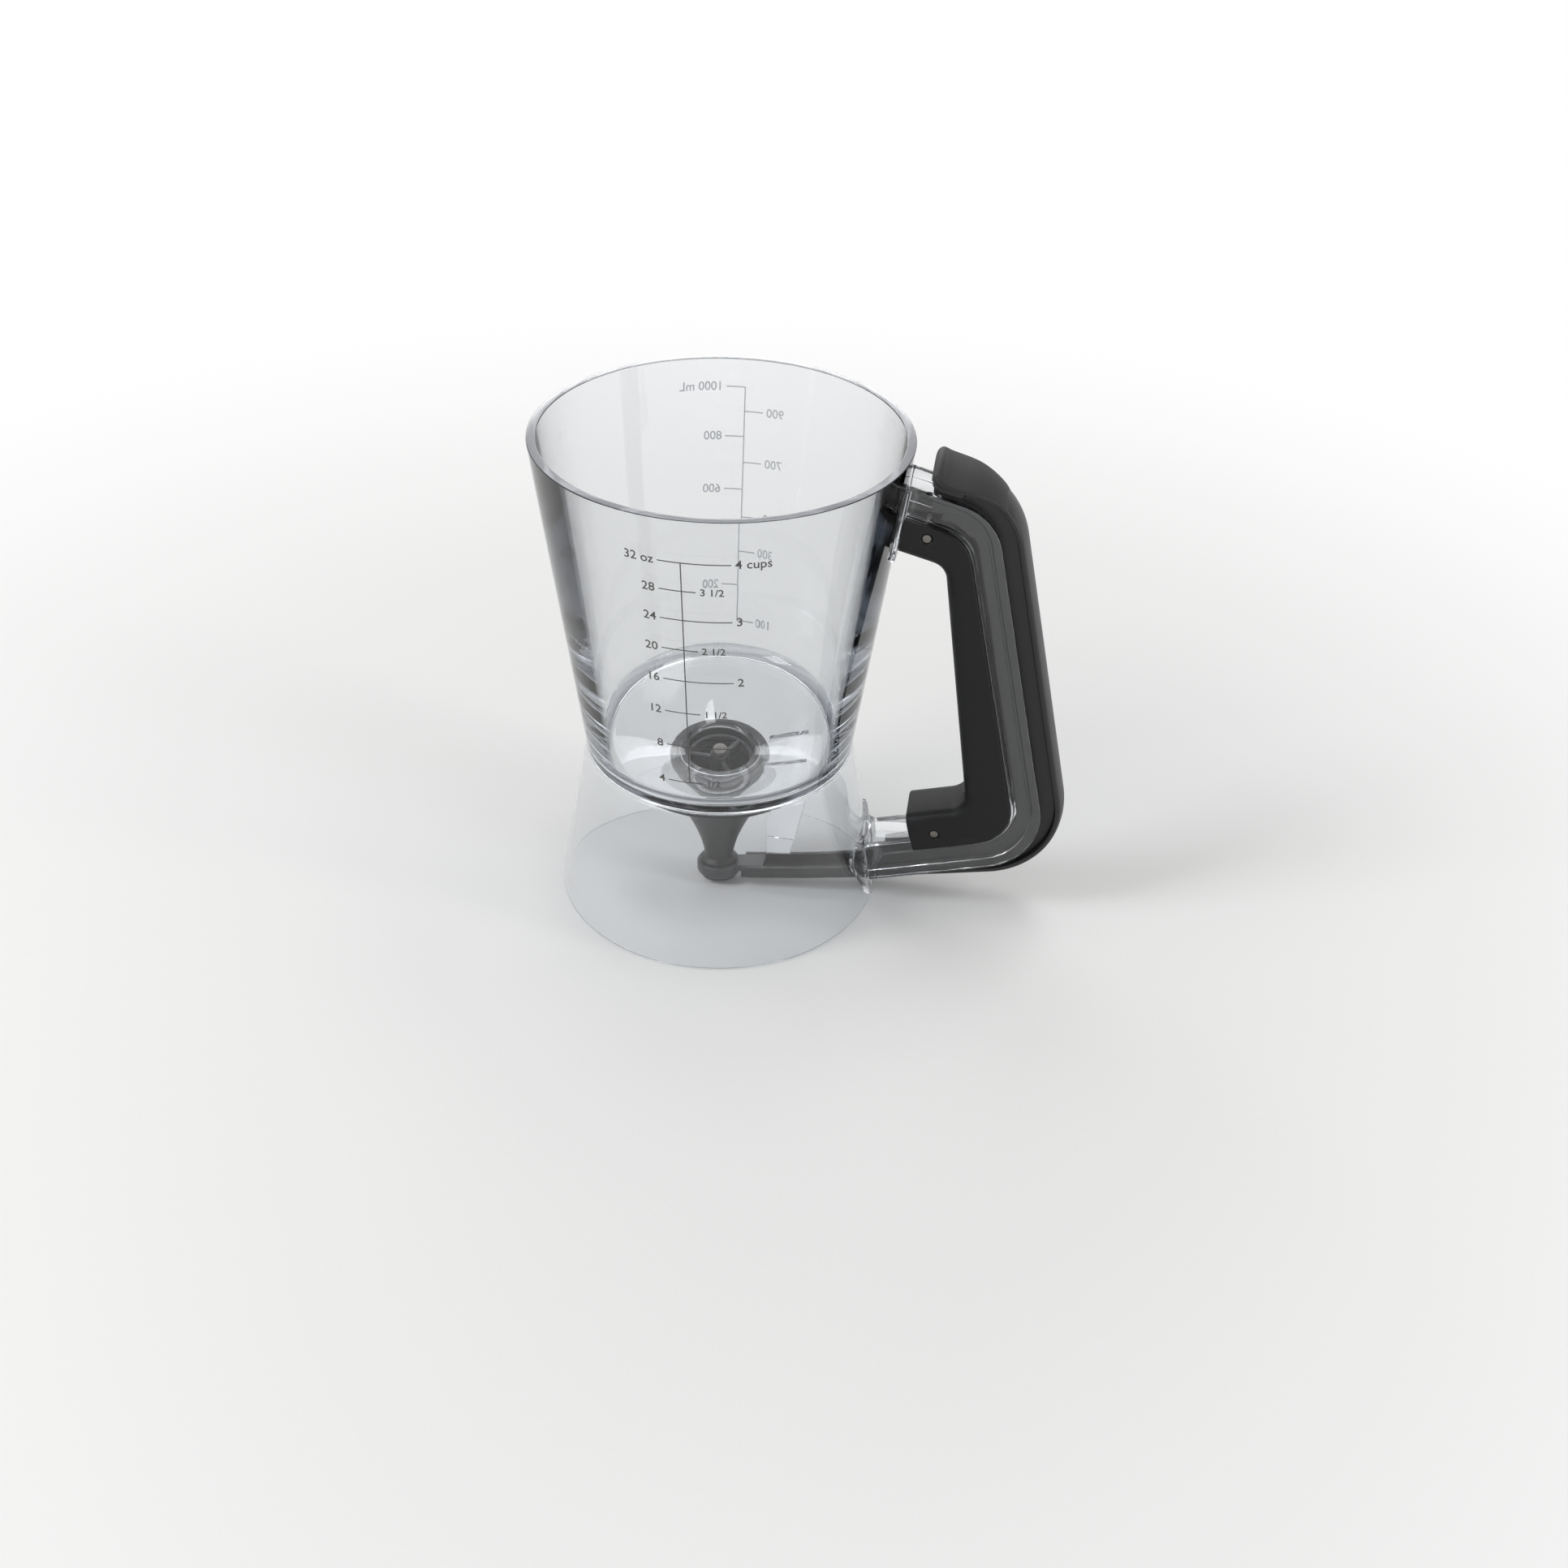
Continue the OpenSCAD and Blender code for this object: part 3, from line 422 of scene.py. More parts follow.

# %% [markdown]
# ## The ears and the rim
# Two flat ears stand side by side under the funnel floor, moulded with the jug. Each is
# drawn in the side view, filled and pushed to its thickness, then joined to the jug by a
# boolean, which is simpler than growing it out of a round mesh. The flat top of the rim
# gets its painted shade, a grey colour of its own.

# %% Saw, ease and finish a piece
def sawn(name, points, low, high):
    """Fill a drawn outline and give it its thickness, from y = low to y = high."""
    piece = draw(name, points)
    bpy.ops.mesh.edge_face_add()
    bpy.ops.transform.translate(value=(0, low * MM, 0))
    bpy.ops.mesh.extrude_region_move(TRANSFORM_OT_translate={"value": (0, (high - low) * MM, 0)})
    bpy.ops.mesh.select_all(action="SELECT")
    bpy.ops.mesh.normals_make_consistent(inside=False)
    bpy.ops.object.mode_set(mode="OBJECT")
    return piece


def use_modifier(piece, kind, **settings):
    """Add a modifier to a piece and apply it."""
    rest_selection()
    bpy.context.view_layer.objects.active = piece
    piece.select_set(True)
    modifier = piece.modifiers.new(kind.title(), kind)
    for name, value in settings.items():
        setattr(modifier, name, value)
    bpy.ops.object.modifier_apply(modifier=modifier.name)
    return piece


def ease_edges(piece, width, segments=2, angle=35, among=None):
    """Round the sharp edges, as a mould does, and shade the rest smooth.

    Lengths are in millimetres. Without a test every sharp edge is rounded. The bevel's
    clamp is off: one short edge would hold the whole piece back to a razor's edge.
    """
    rest_selection()
    bpy.context.view_layer.objects.active = piece
    piece.select_set(True)
    bpy.ops.object.mode_set(mode="EDIT")
    bpy.ops.mesh.select_mode(type="EDGE")
    bpy.ops.mesh.select_all(action="DESELECT")
    shape = bmesh.from_edit_mesh(piece.data)
    for edge in shape.edges:
        if len(edge.link_faces) == 2 and edge.calc_face_angle() > math.radians(angle):
            edge.select_set(among is None or among(edge))
    bmesh.update_edit_mesh(piece.data)
    bpy.ops.mesh.bevel(offset=width * MM, segments=segments, affect="EDGES", miter_outer="ARC",
                       clamp_overlap=False)
    bpy.ops.object.mode_set(mode="OBJECT")
    bpy.ops.object.shade_smooth_by_angle(angle=math.radians(angle))
    return piece


def finished(piece, material, slot, body, *nodes):
    """Give a piece its material, and let it ride in place of the CAD nodes. The slot is not used.
    """
    piece.data.materials.clear()
    piece.data.materials.append(material)
    if body:
        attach(piece, body)
    if nodes:
        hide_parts(*nodes)
    print(f"{piece.name}: {len(piece.data.vertices)} vertices, {len(piece.data.polygons)} faces")


# %% Join the two ears under the floor
EAR_THICK, EAR_IN, EAR_OUT, EAR_LOW = 2, 18.8, 34.8, 20.5
EAR_BED = 1.5  # how far below the floor's upper face an ear ends, inside the floor
ear_outline = rounded([(EAR_IN, EAR_LOW, 0.6), (27.8, EAR_LOW, 0.6),
                       (EAR_OUT, floor_height(EAR_OUT) - EAR_BED, 0),
                       (EAR_IN, floor_height(EAR_IN) - EAR_BED, 0)], 3)
for low in (7.2, -9.2):
    ear = sawn("ear", ear_outline, low, low + EAR_THICK)
    ease_edges(ear, 0.3)
    use_modifier(jug, "BOOLEAN", operation="UNION", object=ear, solver="EXACT")
    bpy.data.objects.remove(ear)
use_modifier(jug, "WELD", merge_threshold=0.001 * MM)
bpy.ops.object.shade_smooth_by_angle(angle=math.radians(30))
finished(jug, clear, "clear_plastic", "jug", "jug_body")
# The rim's flat top gets the painted shade.
jug.data.materials.append(rim_painted_shade)
for face in jug.data.polygons:
    if face.center.z > (RIM_Z - 0.01) * MM:
        face.material_index = 1

# %% [markdown]
# ## The handle frame
# The second clear moulding is a channel, open along its outer edge, with lips. Its many
# flat sides and small steps are right in the solid already, so a copy of that is merged
# and its edges are eased by 0.3 mm, which is what catches the light. Where it meets the
# jug the steps are finer, so the easing is smaller there.

# %% Copy a solid and choose its edges
def copied_solid(node, name):
    """A piece of its own from a CAD node: loose triangles merged, flat faces made whole.

    Points within 0.1 mm become one, and so do faces within 0.4 degrees of each other.
    """
    rest_selection()
    source = frame["nodes"][node]
    bpy.context.view_layer.objects.active = source
    source.select_set(True)
    bpy.ops.object.duplicate()
    piece = bpy.context.object
    bpy.ops.object.parent_clear(type="CLEAR_KEEP_TRANSFORM")
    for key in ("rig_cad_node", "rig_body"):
        del piece[key]
    piece.name = piece.data.name = name
    piece.data.materials.clear()
    bpy.ops.mesh.customdata_custom_splitnormals_clear()
    bpy.ops.object.mode_set(mode="EDIT")
    bpy.ops.mesh.select_all(action="SELECT")
    bpy.ops.mesh.remove_doubles(threshold=0.1 * MM)
    bpy.ops.mesh.dissolve_limited(angle_limit=math.radians(0.4))
    bpy.ops.object.mode_set(mode="OBJECT")
    return piece


def beyond(x):
    """A test for edges that lie wholly farther out than x, in millimetres."""
    return lambda edge: min(v.co.x for v in edge.verts) > x * MM


def within(x):
    """A test for all the other edges."""
    return lambda edge: min(v.co.x for v in edge.verts) <= x * MM


# %% Ease the handle frame
ROOT_END = 58
handle = copied_solid("handle_frame", "handle_channel")
ease_edges(handle, 0.3, 3, 32, beyond(ROOT_END))
ease_edges(handle, 0.12, 2, 50, within(ROOT_END))
finished(handle, clear, "clear_plastic", "jug", "handle_frame")

# %% [markdown]
# ## Black and grey plastics
# The soft covers are a rubbery elastomer moulded over the hard parts: dark, dull, with
# a fine grain that scatters the light. The lever is a hard satin plastic. The nozzle is
# silicone, smoother and slightly waxy. They differ in gloss more than in colour.

# %% Moulded finishes
def moulded(name, dark, light, roughness, grain, depth, ior, mirror=0.5):
    """A moulded plastic or rubber: two close tones in soft patches, and a fine grain.

    The grain's size is in millimetres, and mirror says how much of its gloss a skin shows.
    """
    material, tree, output = new_finish(name)
    place = add_node(tree, "ShaderNodeTexCoord").outputs["Object"]
    patches = add_node(tree, "ShaderNodeTexNoise", {"Vector": place, "Scale": 1 / (9 * MM),
                                                    "Detail": 4, "Roughness": 0.6})
    tone = add_node(tree, "ShaderNodeMix", {"Factor": patches.outputs["Fac"],
                                            "A": hex_colour(dark), "B": hex_colour(light)},
                    data_type="RGBA")
    gloss = add_node(tree, "ShaderNodeMapRange", {"Value": patches.outputs["Fac"],
                                                  "To Min": roughness - 0.04,
                                                  "To Max": roughness + 0.05})
    grit = add_node(tree, "ShaderNodeTexNoise", {"Vector": place, "Scale": 1 / (grain * MM),
                                                 "Detail": 2})
    bump = add_node(tree, "ShaderNodeBump", {"Height": grit.outputs["Fac"], "Strength": depth,
                                             "Distance": 0.05 * MM})
    body = add_node(tree, "ShaderNodeBsdfPrincipled", {
        "Base Color": tone.outputs["Result"], "Roughness": gloss.outputs[0], "IOR": ior,
        "Specular IOR Level": mirror, "Normal": bump.outputs[0]})
    tree.links.new(body.outputs[0], output.inputs["Surface"])
    return material


# The grain of a soft-touch skin is about 0.1 mm; it is drawn at 0.5 mm so that it shows.
# The grip's skin is the duller one, so it mirrors less.
soft_black = moulded("black thermoplastic elastomer, soft-touch moulded", "#0e0e0f", "#131314",
                     0.5, 0.5, 0.25, ior=1.49, mirror=0.32)
palm_black = moulded("charcoal thermoplastic elastomer, soft-touch moulded", "#121213", "#19191a",
                     0.44, 0.5, 0.25, ior=1.49)
thumb_grey = moulded("grey thermoplastic elastomer, matte moulded", "#1b1b1c", "#222223",
                     0.56, 0.45, 0.25, ior=1.49)
satin_black = moulded("black ABS, satin moulded", "#060607", "#0a0a0b", 0.42, 0.6, 0.15, ior=1.53)
dark_plastic = moulded("dark grey polypropylene, moulded", "#2c2c2e", "#363638", 0.3, 0.7, 0.08,
                       ior=1.50)
black_silicone = moulded("black silicone rubber, compression moulded", "#101011", "#161617",
                         0.36, 1.0, 0.03, ior=1.42)
for finish in (soft_black, palm_black, thumb_grey, satin_black, dark_plastic, black_silicone):
    print("finish:", finish.name)

# %% [markdown]
# ## The finger grip
# The sleeve on the finger side is soft, so its edges are rounded by 0.9 mm. At its ends
# by the jug the edges lie too close together for that, and stay as they are.

# %% Round the finger grip
GRIP_END = 64
grip = copied_solid("inner_grip", "finger_grip")
ease_edges(grip, 0.9, 4, 32, beyond(GRIP_END))
finished(grip, soft_black, "soft_grip", "jug", "inner_grip")

# %% [markdown]
# ## The lever and its soft cover
# The lever ends in a thin plate, wide enough for a thumb, whose corners are round. Its
# other edges are only eased, because the channel's walls hide most of them. The palm
# cover is a soft band: its crown goes over into its sides in a round shoulder.

# %% Ease the lever
PLATE_HALF, PLATE_THICK = 12, 1.6


def at_plate_corner(edge):
    """The short upright edges of the plate that carries the thumb rest."""
    return (min(abs(v.co.y) for v in edge.verts) > (PLATE_HALF - 0.1) * MM
            and abs(edge.calc_length() - PLATE_THICK * MM) < 0.2 * MM)


lever = copied_solid("lever", "squeeze_lever")
ease_edges(lever, 3.5, 6, 35, at_plate_corner)
ease_edges(lever, 0.25, 2, 32)
finished(lever, satin_black, "black_plastic", "squeeze_lever", "lever")

# %% Round the palm cover
HOLLOW = Vector((90, 0, 100)) * MM  # a point in the open middle of the handle
BAND_END = 66


def on_shoulder(edge):
    """Where the crown meets a side: the two long outer edges of the cover."""
    side, crown = sorted(edge.link_faces, key=lambda face: -abs(face.normal.y))
    outward = (edge.verts[0].co + edge.verts[1].co) / 2 - HOLLOW
    return abs(side.normal.y) > 0.95 and abs(crown.normal.y) < 0.7 and crown.normal.dot(outward) > 0


band = copied_solid("palm_band", "palm_cover")
ease_edges(band, 1.2, 6, 40, on_shoulder)
ease_edges(band, 0.3, 2, 50, beyond(BAND_END))
finished(band, palm_black, "soft_grip", "squeeze_lever", "palm_band")

# %% [markdown]
# The thumb rest is as wide as a thumb. Its cross-section is drawn once, standing, and
# pushed out step by step along the lever's upper run and then round the bend, where it
# narrows to the palm cover. A step of the run is (length, half width, height), so the
# lip at the jug's side rolls up. A step of the bend is 5 degrees, with the half width
# and a pull towards the bend's centre, which sinks the far end into the cover.

# %% Push out the thumb rest
# The run starts at (x, z), falls by 15 degrees and ends where the bend begins.
RUN_START, RUN_FALL, RUN_LENGTH, BEND_R = (71, 177.783), 15, 12.862, 25.4
PAD_HALF, SIDE_HEIGHT, CROWN_RISE, CROWN_STEPS = 14, 2.0, 1.2, 6
crown = [(PAD_HALF * t / CROWN_STEPS, SIDE_HEIGHT + CROWN_RISE * (1 - (t / CROWN_STEPS) ** 2),
          1.2 if abs(t) == CROWN_STEPS else 0) for t in range(CROWN_STEPS, -CROWN_STEPS - 1, -1)]
pad = draw("thumb_rest", rounded([(-PAD_HALF, 0, 0), (PAD_HALF, 0, 0)] + crown, 3),
           angle=math.pi / 2)
width, height_now = PAD_HALF, 1.0
run_steps = [(0, 10.2, 0.62), (0.4, 11.4, 1.05), (0.6, 12.2, 1.34), (0.9, 12.9, 1.45),
             (1.0, 13.4, 1.34), (1.0, 13.7, 1.14), (1.2, 13.9, 1.03), (3.2, PAD_HALF, 1.0),
             (2.6, 13.8, 1.0), (RUN_LENGTH - 10.9, 13.45, 1.01)]
for length, half, tall in run_steps:
    if length:
        bpy.ops.mesh.extrude_region_move(TRANSFORM_OT_translate={"value": (length * MM, 0, 0)})
    bpy.ops.transform.resize(value=(1, half / width, tall / height_now), center_override=(0, 0, 0))
    width, height_now = half, tall
bend = (RUN_LENGTH * MM, 0, -BEND_R * MM)
bend_steps = [(12.9, 1.003), (12.2, 1), (11.4, 1), (10.6, 1), (9.8, 1), (9.15, 0.995),
              (8.7, 0.985)]
for half, pull in bend_steps:
    bpy.ops.mesh.spin(steps=1, angle=math.radians(5), center=bend, axis=(0, -1, 0))
    bpy.ops.transform.resize(value=(1, half / width, 1), center_override=(0, 0, 0))
    bpy.ops.transform.resize(value=(pull, 1, pull), center_override=bend)
    width = half
bpy.ops.mesh.select_all(action="SELECT")
bpy.ops.mesh.remove_doubles(threshold=SAME_POINT)
bpy.ops.mesh.fill_holes(sides=0)
bpy.ops.mesh.select_all(action="SELECT")
bpy.ops.mesh.normals_make_consistent(inside=False)
bpy.ops.object.mode_set(mode="OBJECT")
pad.rotation_euler = (0, math.radians(RUN_FALL), 0)
pad.location = (RUN_START[0] * MM, 0, RUN_START[1] * MM)
bpy.ops.object.transform_apply(location=True, rotation=True)
use_modifier(pad, "SUBSURF", levels=2)
bpy.ops.object.shade_smooth_by_angle(angle=math.radians(60))
finished(pad, thumb_grey, "thumb_rubber", "squeeze_lever", "thumb_pad")

# %% [markdown]
# ## The nozzle and its collar
# The nozzle is a silicone funnel, turned like the jug. It is fixed to the spigot at its
# top and held by the lever's collar at its tip, so the real one stretches when the lever moves.

# %% Turn the nozzle
FUNNEL_LOW, FUNNEL_TOP, SEAT_Z, CUFF_TOP = 11.9, 43.5, 45.45, 51.5
CUFF_R, CUFF_THICK, FLARE = 15.85, 1.8, 1.6


def funnel(inner, outer, low, high, count=14):
    """A taper that is hollowed like a trumpet."""
    return [(inner + (outer - inner) * (i / count) ** FLARE, low + (high - low) * i / count, 0)
            for i in range(count + 1)]


nozzle_profile = [(3.3, 1.8, 0.2), (6.5, 1.8, 1.1), (7, 3.6, 0.4), (6, 3.6, 0), (6, 9.5, 0),
                  (7, 9.5, 0.5), (7, 10.7, 0.5)]
nozzle_profile += funnel(5.3, CUFF_R + CUFF_THICK, FUNNEL_LOW, FUNNEL_TOP)
nozzle_profile += [(CUFF_R + CUFF_THICK, CUFF_TOP, 0.3), (CUFF_R, CUFF_TOP, 0.2),
                   (CUFF_R, 47.55, 0), (CUFF_R + 0.8, 45.9, 0), (CUFF_R + 0.4, SEAT_Z, 0)]
nozzle_profile += funnel(4.1, OUTLET_R, FUNNEL_LOW, SEAT_Z)[::-1]
nozzle_profile += [(4.95, 9.35, 0), (4.95, 5.5, 0)]
nozzle = turned("soft_nozzle", rounded(nozzle_profile, 4), steps=96)
bpy.ops.object.shade_smooth_by_angle(angle=math.radians(35))
finished(nozzle, black_silicone, "silicone", None, "nozzle")
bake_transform(nozzle)

# %% [markdown]
# The collar is the lever's end round the nozzle's tip. It bulges, so its lower circle is
# rounded most. The clamp is a ring round the nozzle's cuff, and the spider sits in the
# outlet and carries the plug.

# %% Collar, clamp and spider
COLLAR_R, COLLAR_LOW, COLLAR_TOP = 8.2, 3.75, 9.35
CLAMP_IN, CLAMP_OUT, CLAMP_LOW, CLAMP_TOP = 17.7, 19.85, 48.1, 51.1


def on_ring(height):
    """A test for the edges of the collar's outer circle at a height."""
    def test(edge):
        ends = [v.co / MM for v in edge.verts]
        return all(abs(v.xy.length - COLLAR_R) < 0.06 and abs(v.z - height) < 0.05 for v in ends)
    return test


collar = copied_solid("nozzle_collar", "tip_collar")
ease_edges(collar, 1.7, 6, 35, on_ring(COLLAR_LOW))
ease_edges(collar, 0.9, 4, 35, on_ring(COLLAR_TOP))
ease_edges(collar, 0.25, 2, 50)
finished(collar, dark_plastic, "dark_plastic", "squeeze_lever", "nozzle_collar")
clamp_profile = [(CLAMP_IN, CLAMP_LOW, 0.3), (CLAMP_OUT, CLAMP_LOW, 0.5),
                 (CLAMP_OUT, CLAMP_TOP, 0.5), (CLAMP_IN, CLAMP_TOP, 0.3)]
clamp = turned("cuff_clamp", rounded(clamp_profile, 4), steps=96)
bpy.ops.object.shade_smooth_by_angle(angle=math.radians(35))
finished(clamp, dark_plastic, "dark_plastic", "jug", "nozzle_clamp")
spider = copied_solid("outlet_spider", "plug_spider")
ease_edges(spider, 0.2, 2, 35)
finished(spider, dark_plastic, "dark_plastic", "jug", "outlet_spider")

# %% [markdown]
# ## Steel
# The pins are ground stainless rod with a low step on each end and eased edges. The
# plug's stem is turned from stainless too, and the spring is drawn wire.

# %% Steel finishes
def steel(name, dark, light, roughness, grain):
    """Metal with a fine, uneven grain, whose size is in millimetres."""
    material, tree, output = new_finish(name)
    place = add_node(tree, "ShaderNodeTexCoord").outputs["Object"]
    cloud = add_node(tree, "ShaderNodeTexNoise", {"Vector": place, "Scale": 1 / (grain * MM),
                                                  "Detail": 3})
    tone = add_node(tree, "ShaderNodeMix", {"Factor": cloud.outputs["Fac"], "A": hex_colour(dark),
                                            "B": hex_colour(light)}, data_type="RGBA")
    bump = add_node(tree, "ShaderNodeBump", {"Height": cloud.outputs["Fac"], "Strength": 0.3,
                                             "Distance": 0.03 * MM})
    metal = add_node(tree, "ShaderNodeBsdfPrincipled", {
        "Base Color": tone.outputs["Result"], "Metallic": 1.0, "Roughness": roughness,
        "Normal": bump.outputs[0]})
    tree.links.new(metal.outputs[0], output.inputs["Surface"])
    return material


ground_steel = steel("stainless steel, ground", "#5d5a55", "#8d8a84", 0.42, 0.4)
drawn_wire = steel("spring steel wire, drawn", "#7d7d7e", "#a9a9aa", 0.28, 0.5)
print("finishes:", ground_steel.name, "and", drawn_wire.name)

# %% Pins, stem and spring
PIN_R = 1.5
for node in ("pivot_pin", "stop_pin"):
    low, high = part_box(node)
    rest_selection()
    bpy.ops.mesh.primitive_cylinder_add(vertices=48, radius=PIN_R * MM, depth=high.y - low.y,
                                        location=(low + high) / 2, rotation=(math.pi / 2, 0, 0))
    pin = bpy.context.object
    pin.name = pin.data.name = node.replace("_", "_steel_")
    bpy.ops.object.transform_apply(location=True, rotation=True)
    bpy.ops.object.mode_set(mode="EDIT")
    bpy.ops.mesh.select_all(action="SELECT")
    bpy.ops.mesh.normals_make_consistent(inside=False)
    bpy.ops.mesh.select_mode(type="FACE")
    bpy.ops.mesh.select_all(action="DESELECT")
    shape = bmesh.from_edit_mesh(pin.data)
    for face in shape.faces:
        face.select_set(len(face.verts) > 4)  # the two round ends
    bmesh.update_edit_mesh(pin.data)
    bpy.ops.mesh.inset(thickness=0.25 * MM)
    bpy.ops.mesh.inset(thickness=0.2 * MM, depth=0.08 * MM)
    bpy.ops.object.mode_set(mode="OBJECT")
    ease_edges(pin, 0.12, 2, 40)
    finished(pin, ground_steel, "pin_steel", "jug", node)
PLUG_R, STEM_R, HEAD_Z = 3.7, 1.75, 52.05
stem_profile = [(0, 2.1, 0), (3.33, 2.1, 0.2), (PLUG_R, 3.0, 0.2), (PLUG_R, 4.6, 0.2),
                (STEM_R, 7.0, 0.4), (STEM_R, HEAD_Z, 0), (3.2, HEAD_Z, 0.2), (2.8, 54, 0.3),
                (0, 55, 0)]
stem = turned("valve_plug", rounded(stem_profile, 4), steps=64, closed=False)
bpy.ops.object.shade_smooth_by_angle(angle=math.radians(35))
finished(stem, ground_steel, "pin_steel", "jug", "valve_stem")
spring = frame["nodes"]["return_spring"]
spring.data.materials.clear()
spring.data.materials.append(drawn_wire)

# %% [markdown]
# ## The printed scales
# Both scales are pad printed outside the container: ounces and cups in grey at the
# front, millilitres in white at the back. The marks stand where the volume says, so the
# heights are worked out from the cone of the inside wall. Each mark and number is drawn
# flat, then wrapped on the wall, 0.04 mm proud of it.

# %% Heights for the volumes
OUNCE, FUNNEL_HOLDS = 29.5735, 36.8  # millilitres


def height_for(millilitres):
    """The level that a volume reaches, found by halving the container's height.

    What it holds is the funnel and a cut cone, whose cubic millimetres become millilitres.
    """
    low, high = WAIST_Z, RIM_Z
    for _ in range(40):
        z = (low + high) / 2
        a, b = INNER_R, outside_radius(z) - WALL
        held = FUNNEL_HOLDS + math.pi * (z - WAIST_Z) * (a * a + a * b + b * b) / 3000
        low, high = (z, high) if held < millilitres else (low, z)
    return z


print("levels:", [round(height_for(OUNCE * ounces), 1) for ounces in (4, 8, 16, 32)])

# %% Draw, wrap and print
INK_LIFT, INK_HALF = 0.04, 0.01  # off the wall, and half the thickness of the print


def wrapped(piece, angle, height):
    """Lay a flat drawing, made at real size in the upright plane, on the outside wall."""
    bpy.context.view_layer.update()
    for corner in piece.data.vertices:
        across, out, up = corner.co
        z = height + up
        r = outside_radius(z / MM) * MM + INK_LIFT * MM - out
        corner.co = (r * math.cos(angle + across / r), r * math.sin(angle + across / r), z)
    return piece


def label(text, size, across, align):
    """A number or unit, standing up in the flat drawing, as a thin mesh."""
    rest_selection()
    bpy.ops.object.text_add(location=(across * MM, 0, 0), rotation=(math.pi / 2, 0, 0))
    word = bpy.context.object
    word.data.body = text
    word.data.size = size * MM
    word.data.align_x, word.data.align_y = align, "CENTER"
    word.data.extrude = INK_HALF * MM
    word.data.offset = 0.05 * MM
    word.data.resolution_u = 4
    bpy.ops.object.convert(target="MESH")
    bpy.ops.object.transform_apply(location=True, rotation=True)
    return bpy.context.object


def stroke(x0, x1, z0, z1):
    """A printed line, with enough steps along it to follow the wall."""
    rest_selection()
    bpy.ops.mesh.primitive_grid_add(x_subdivisions=max(2, int(abs(x1 - x0))), y_subdivisions=1,
                                    size=1, rotation=(math.pi / 2, 0, 0))
    bpy.ops.object.transform_apply(location=False, rotation=True)
    line = bpy.context.object
    bpy.ops.object.mode_set(mode="EDIT")
    bpy.ops.mesh.select_all(action="SELECT")
    bpy.ops.transform.resize(value=((x1 - x0) * MM, 1, (z1 - z0) * MM))
    bpy.ops.transform.translate(value=((x0 + x1) / 2 * MM, INK_HALF * MM, (z0 + z1) / 2 * MM))
    bpy.ops.mesh.extrude_region_move(TRANSFORM_OT_translate={"value": (0, -2 * INK_HALF * MM, 0)})
    bpy.ops.mesh.select_all(action="SELECT")
    bpy.ops.mesh.normals_make_consistent(inside=False)
    bpy.ops.object.mode_set(mode="OBJECT")
    return line


def printed(name, marks, angle, thick, film):
    """Draw, wrap and join all marks of one scale.

    A mark is (millilitres, reach to the left, reach to the right, texts), and a text is
    (words, size, across, align), all in millimetres from the scale's upright line.
    """
    parts = []
    for volume, left, right, texts in marks:
        z = height_for(volume)
        parts.append(wrapped(stroke(-left, right, -thick / 2, thick / 2), angle, z * MM))
        for words, size, across, align in texts:
            parts.append(wrapped(label(words, size, across, align), angle, z * MM))
    levels = sorted(height_for(mark[0]) for mark in marks)
    parts.append(wrapped(stroke(-thick / 2, thick / 2, levels[0], levels[-1]), angle, 0))
    rest_selection()
    for part in parts:
        part.select_set(True)
    bpy.context.view_layer.objects.active = parts[0]
    bpy.ops.object.join()
    scale = bpy.context.object
    bpy.ops.object.mode_set(mode="EDIT")
    bpy.ops.mesh.select_all(action="SELECT")
    bpy.ops.mesh.remove_doubles(threshold=0.001 * MM)
    bpy.ops.object.mode_set(mode="OBJECT")
    scale.name = scale.data.name = name
    finished(scale, film, None, "jug")


# %% [markdown]
# Pad printing leaves a thin, flat film that is a little uneven where the pad lifted off.
# Two close tones in fine specks are enough for that.

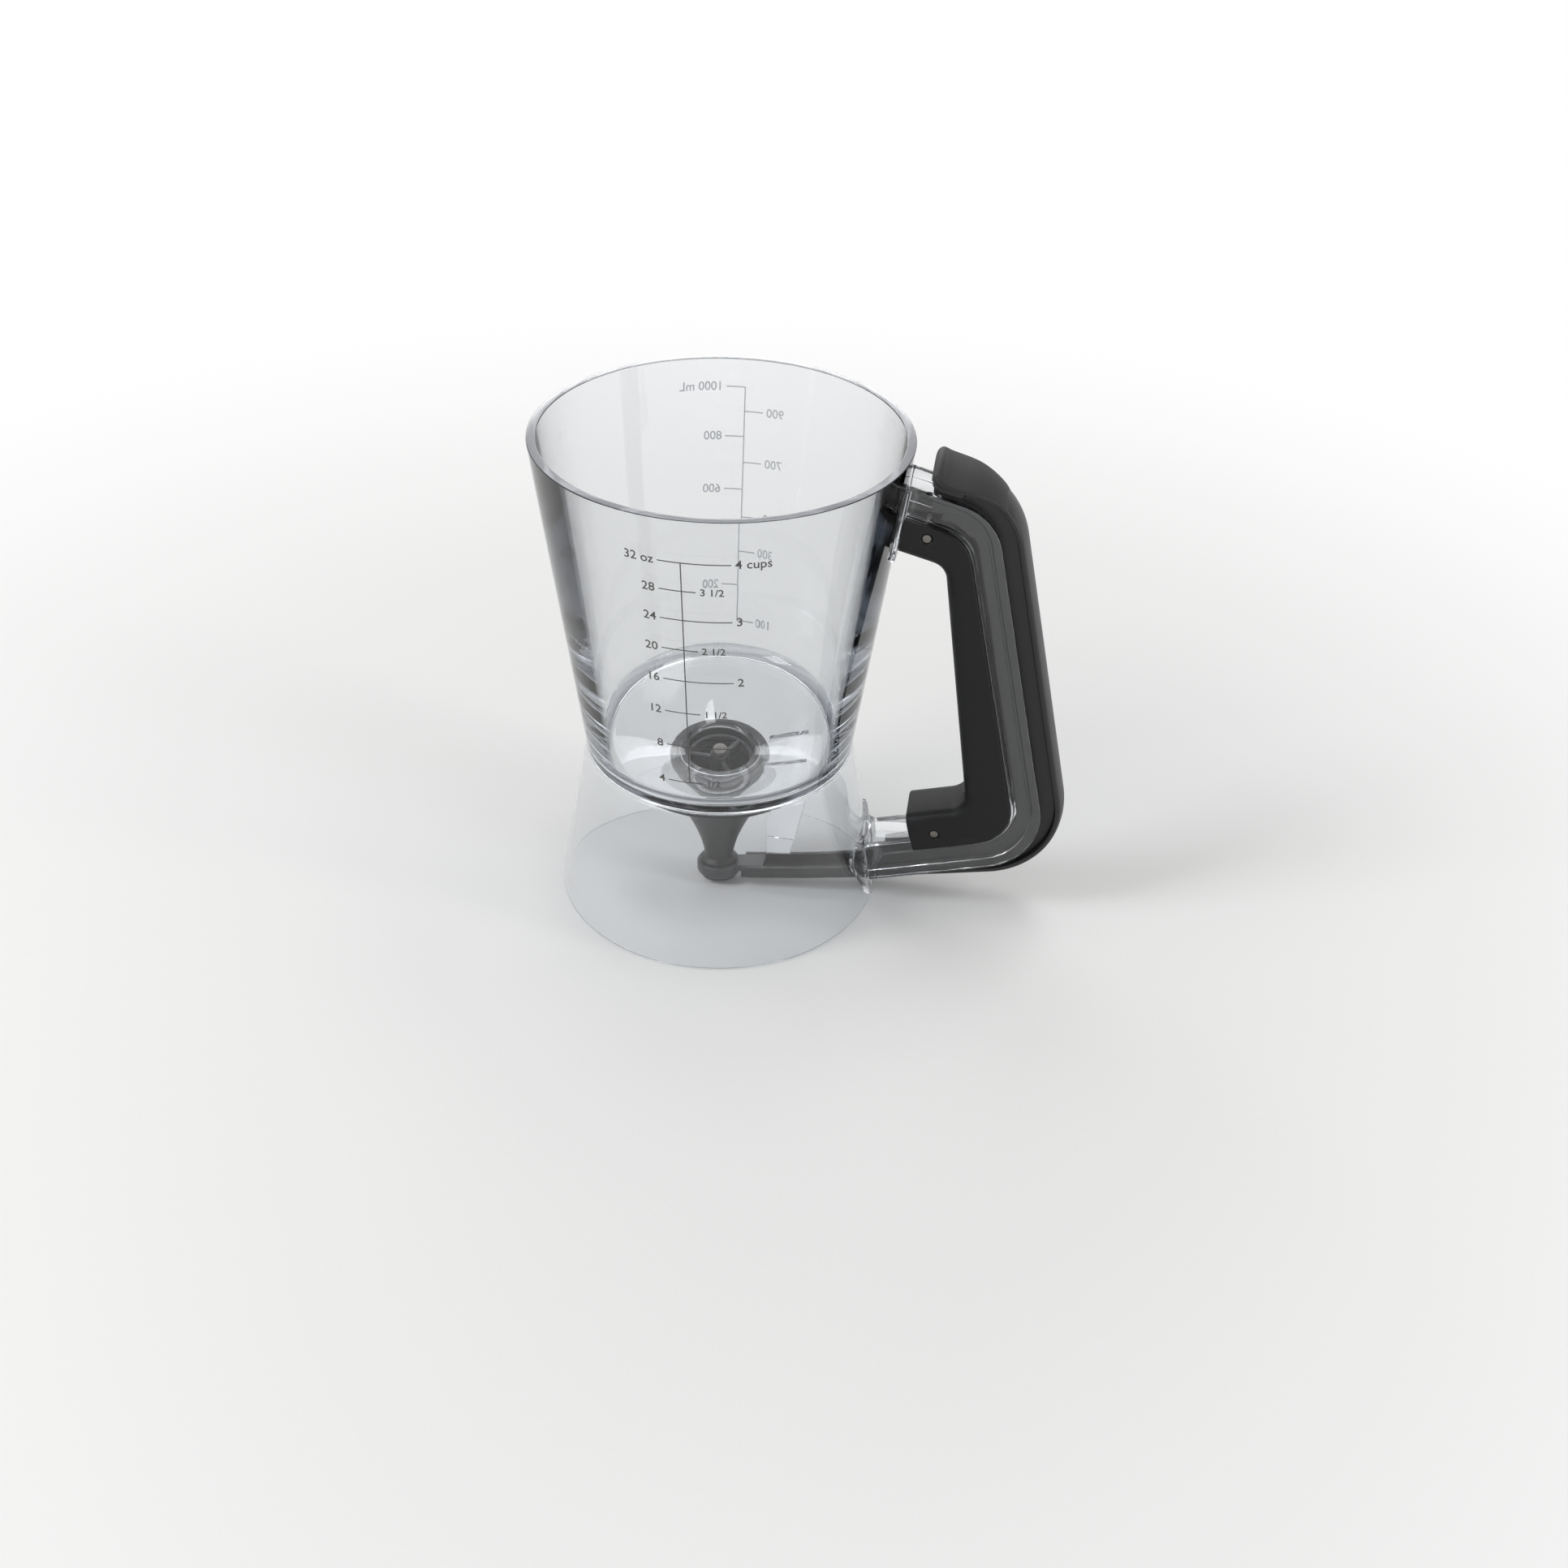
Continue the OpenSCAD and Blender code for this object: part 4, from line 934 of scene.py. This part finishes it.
# %% Inks
def ink(name, thin, full):
    """Pad-printing ink: flat, a little uneven where the pad lifted."""
    material, tree, output = new_finish(name)
    place = add_node(tree, "ShaderNodeTexCoord").outputs["Object"]
    speck = add_node(tree, "ShaderNodeTexNoise", {"Vector": place, "Scale": 1 / (1.2 * MM),
                                                  "Detail": 2})
    tone = add_node(tree, "ShaderNodeMix", {"Factor": speck.outputs["Fac"], "A": hex_colour(thin),
                                            "B": hex_colour(full)}, data_type="RGBA")
    film = add_node(tree, "ShaderNodeBsdfPrincipled", {"Base Color": tone.outputs["Result"],
                                                       "Roughness": 0.55})
    tree.links.new(film.outputs[0], output.inputs["Surface"])
    return material


grey_ink = ink("grey pad-printing ink", "#5f5e5a", "#51504c")
white_ink = ink("white pad-printing ink", "#e9e9e9", "#f4f4f4")
print("inks:", grey_ink.name, "and", white_ink.name)

# %% Print both scales
TEXT, SMALL_TEXT = 4.6, 3.8
TICK, WORDS_AT = 7.6, 8.8
LONG_TICK, SHORT_TICK, GAP = 16, 4.6, 1.2
front_texts = [("4", "1/2"), ("8", "1"), ("12", "1 1/2"), ("16", "2"), ("20", "2 1/2"),
               ("24", "3"), ("28", "3 1/2"), ("32 oz", "4 cups")]
front_marks = []
for i, (ounces, cups) in enumerate(front_texts):
    whole_cups = i % 2 == 1
    reach = LONG_TICK if whole_cups else SHORT_TICK
    front_marks.append((OUNCE * 4 * (i + 1), TICK, reach,
                        [(ounces, TEXT, -WORDS_AT, "RIGHT"),
                         (cups, TEXT if whole_cups else SMALL_TEXT, reach + GAP, "LEFT")]))
printed("front_scale", front_marks, math.radians(-92), 0.4, grey_ink)
BACK_TICK, BACK_STUB, BACK_WORDS_AT = 7.0, 0.15, 8.2
back_marks = []
for volume in range(100, 1001, 100):
    words = f"{volume} mL" if volume == 1000 else str(volume)
    if volume // 100 % 2:
        back_marks.append((volume, BACK_TICK, BACK_STUB, [(words, TEXT, -BACK_WORDS_AT, "RIGHT")]))
    else:
        back_marks.append((volume, BACK_STUB, BACK_TICK, [(words, TEXT, BACK_WORDS_AT, "LEFT")]))
printed("back_scale", back_marks, math.radians(92), 0.45, white_ink)
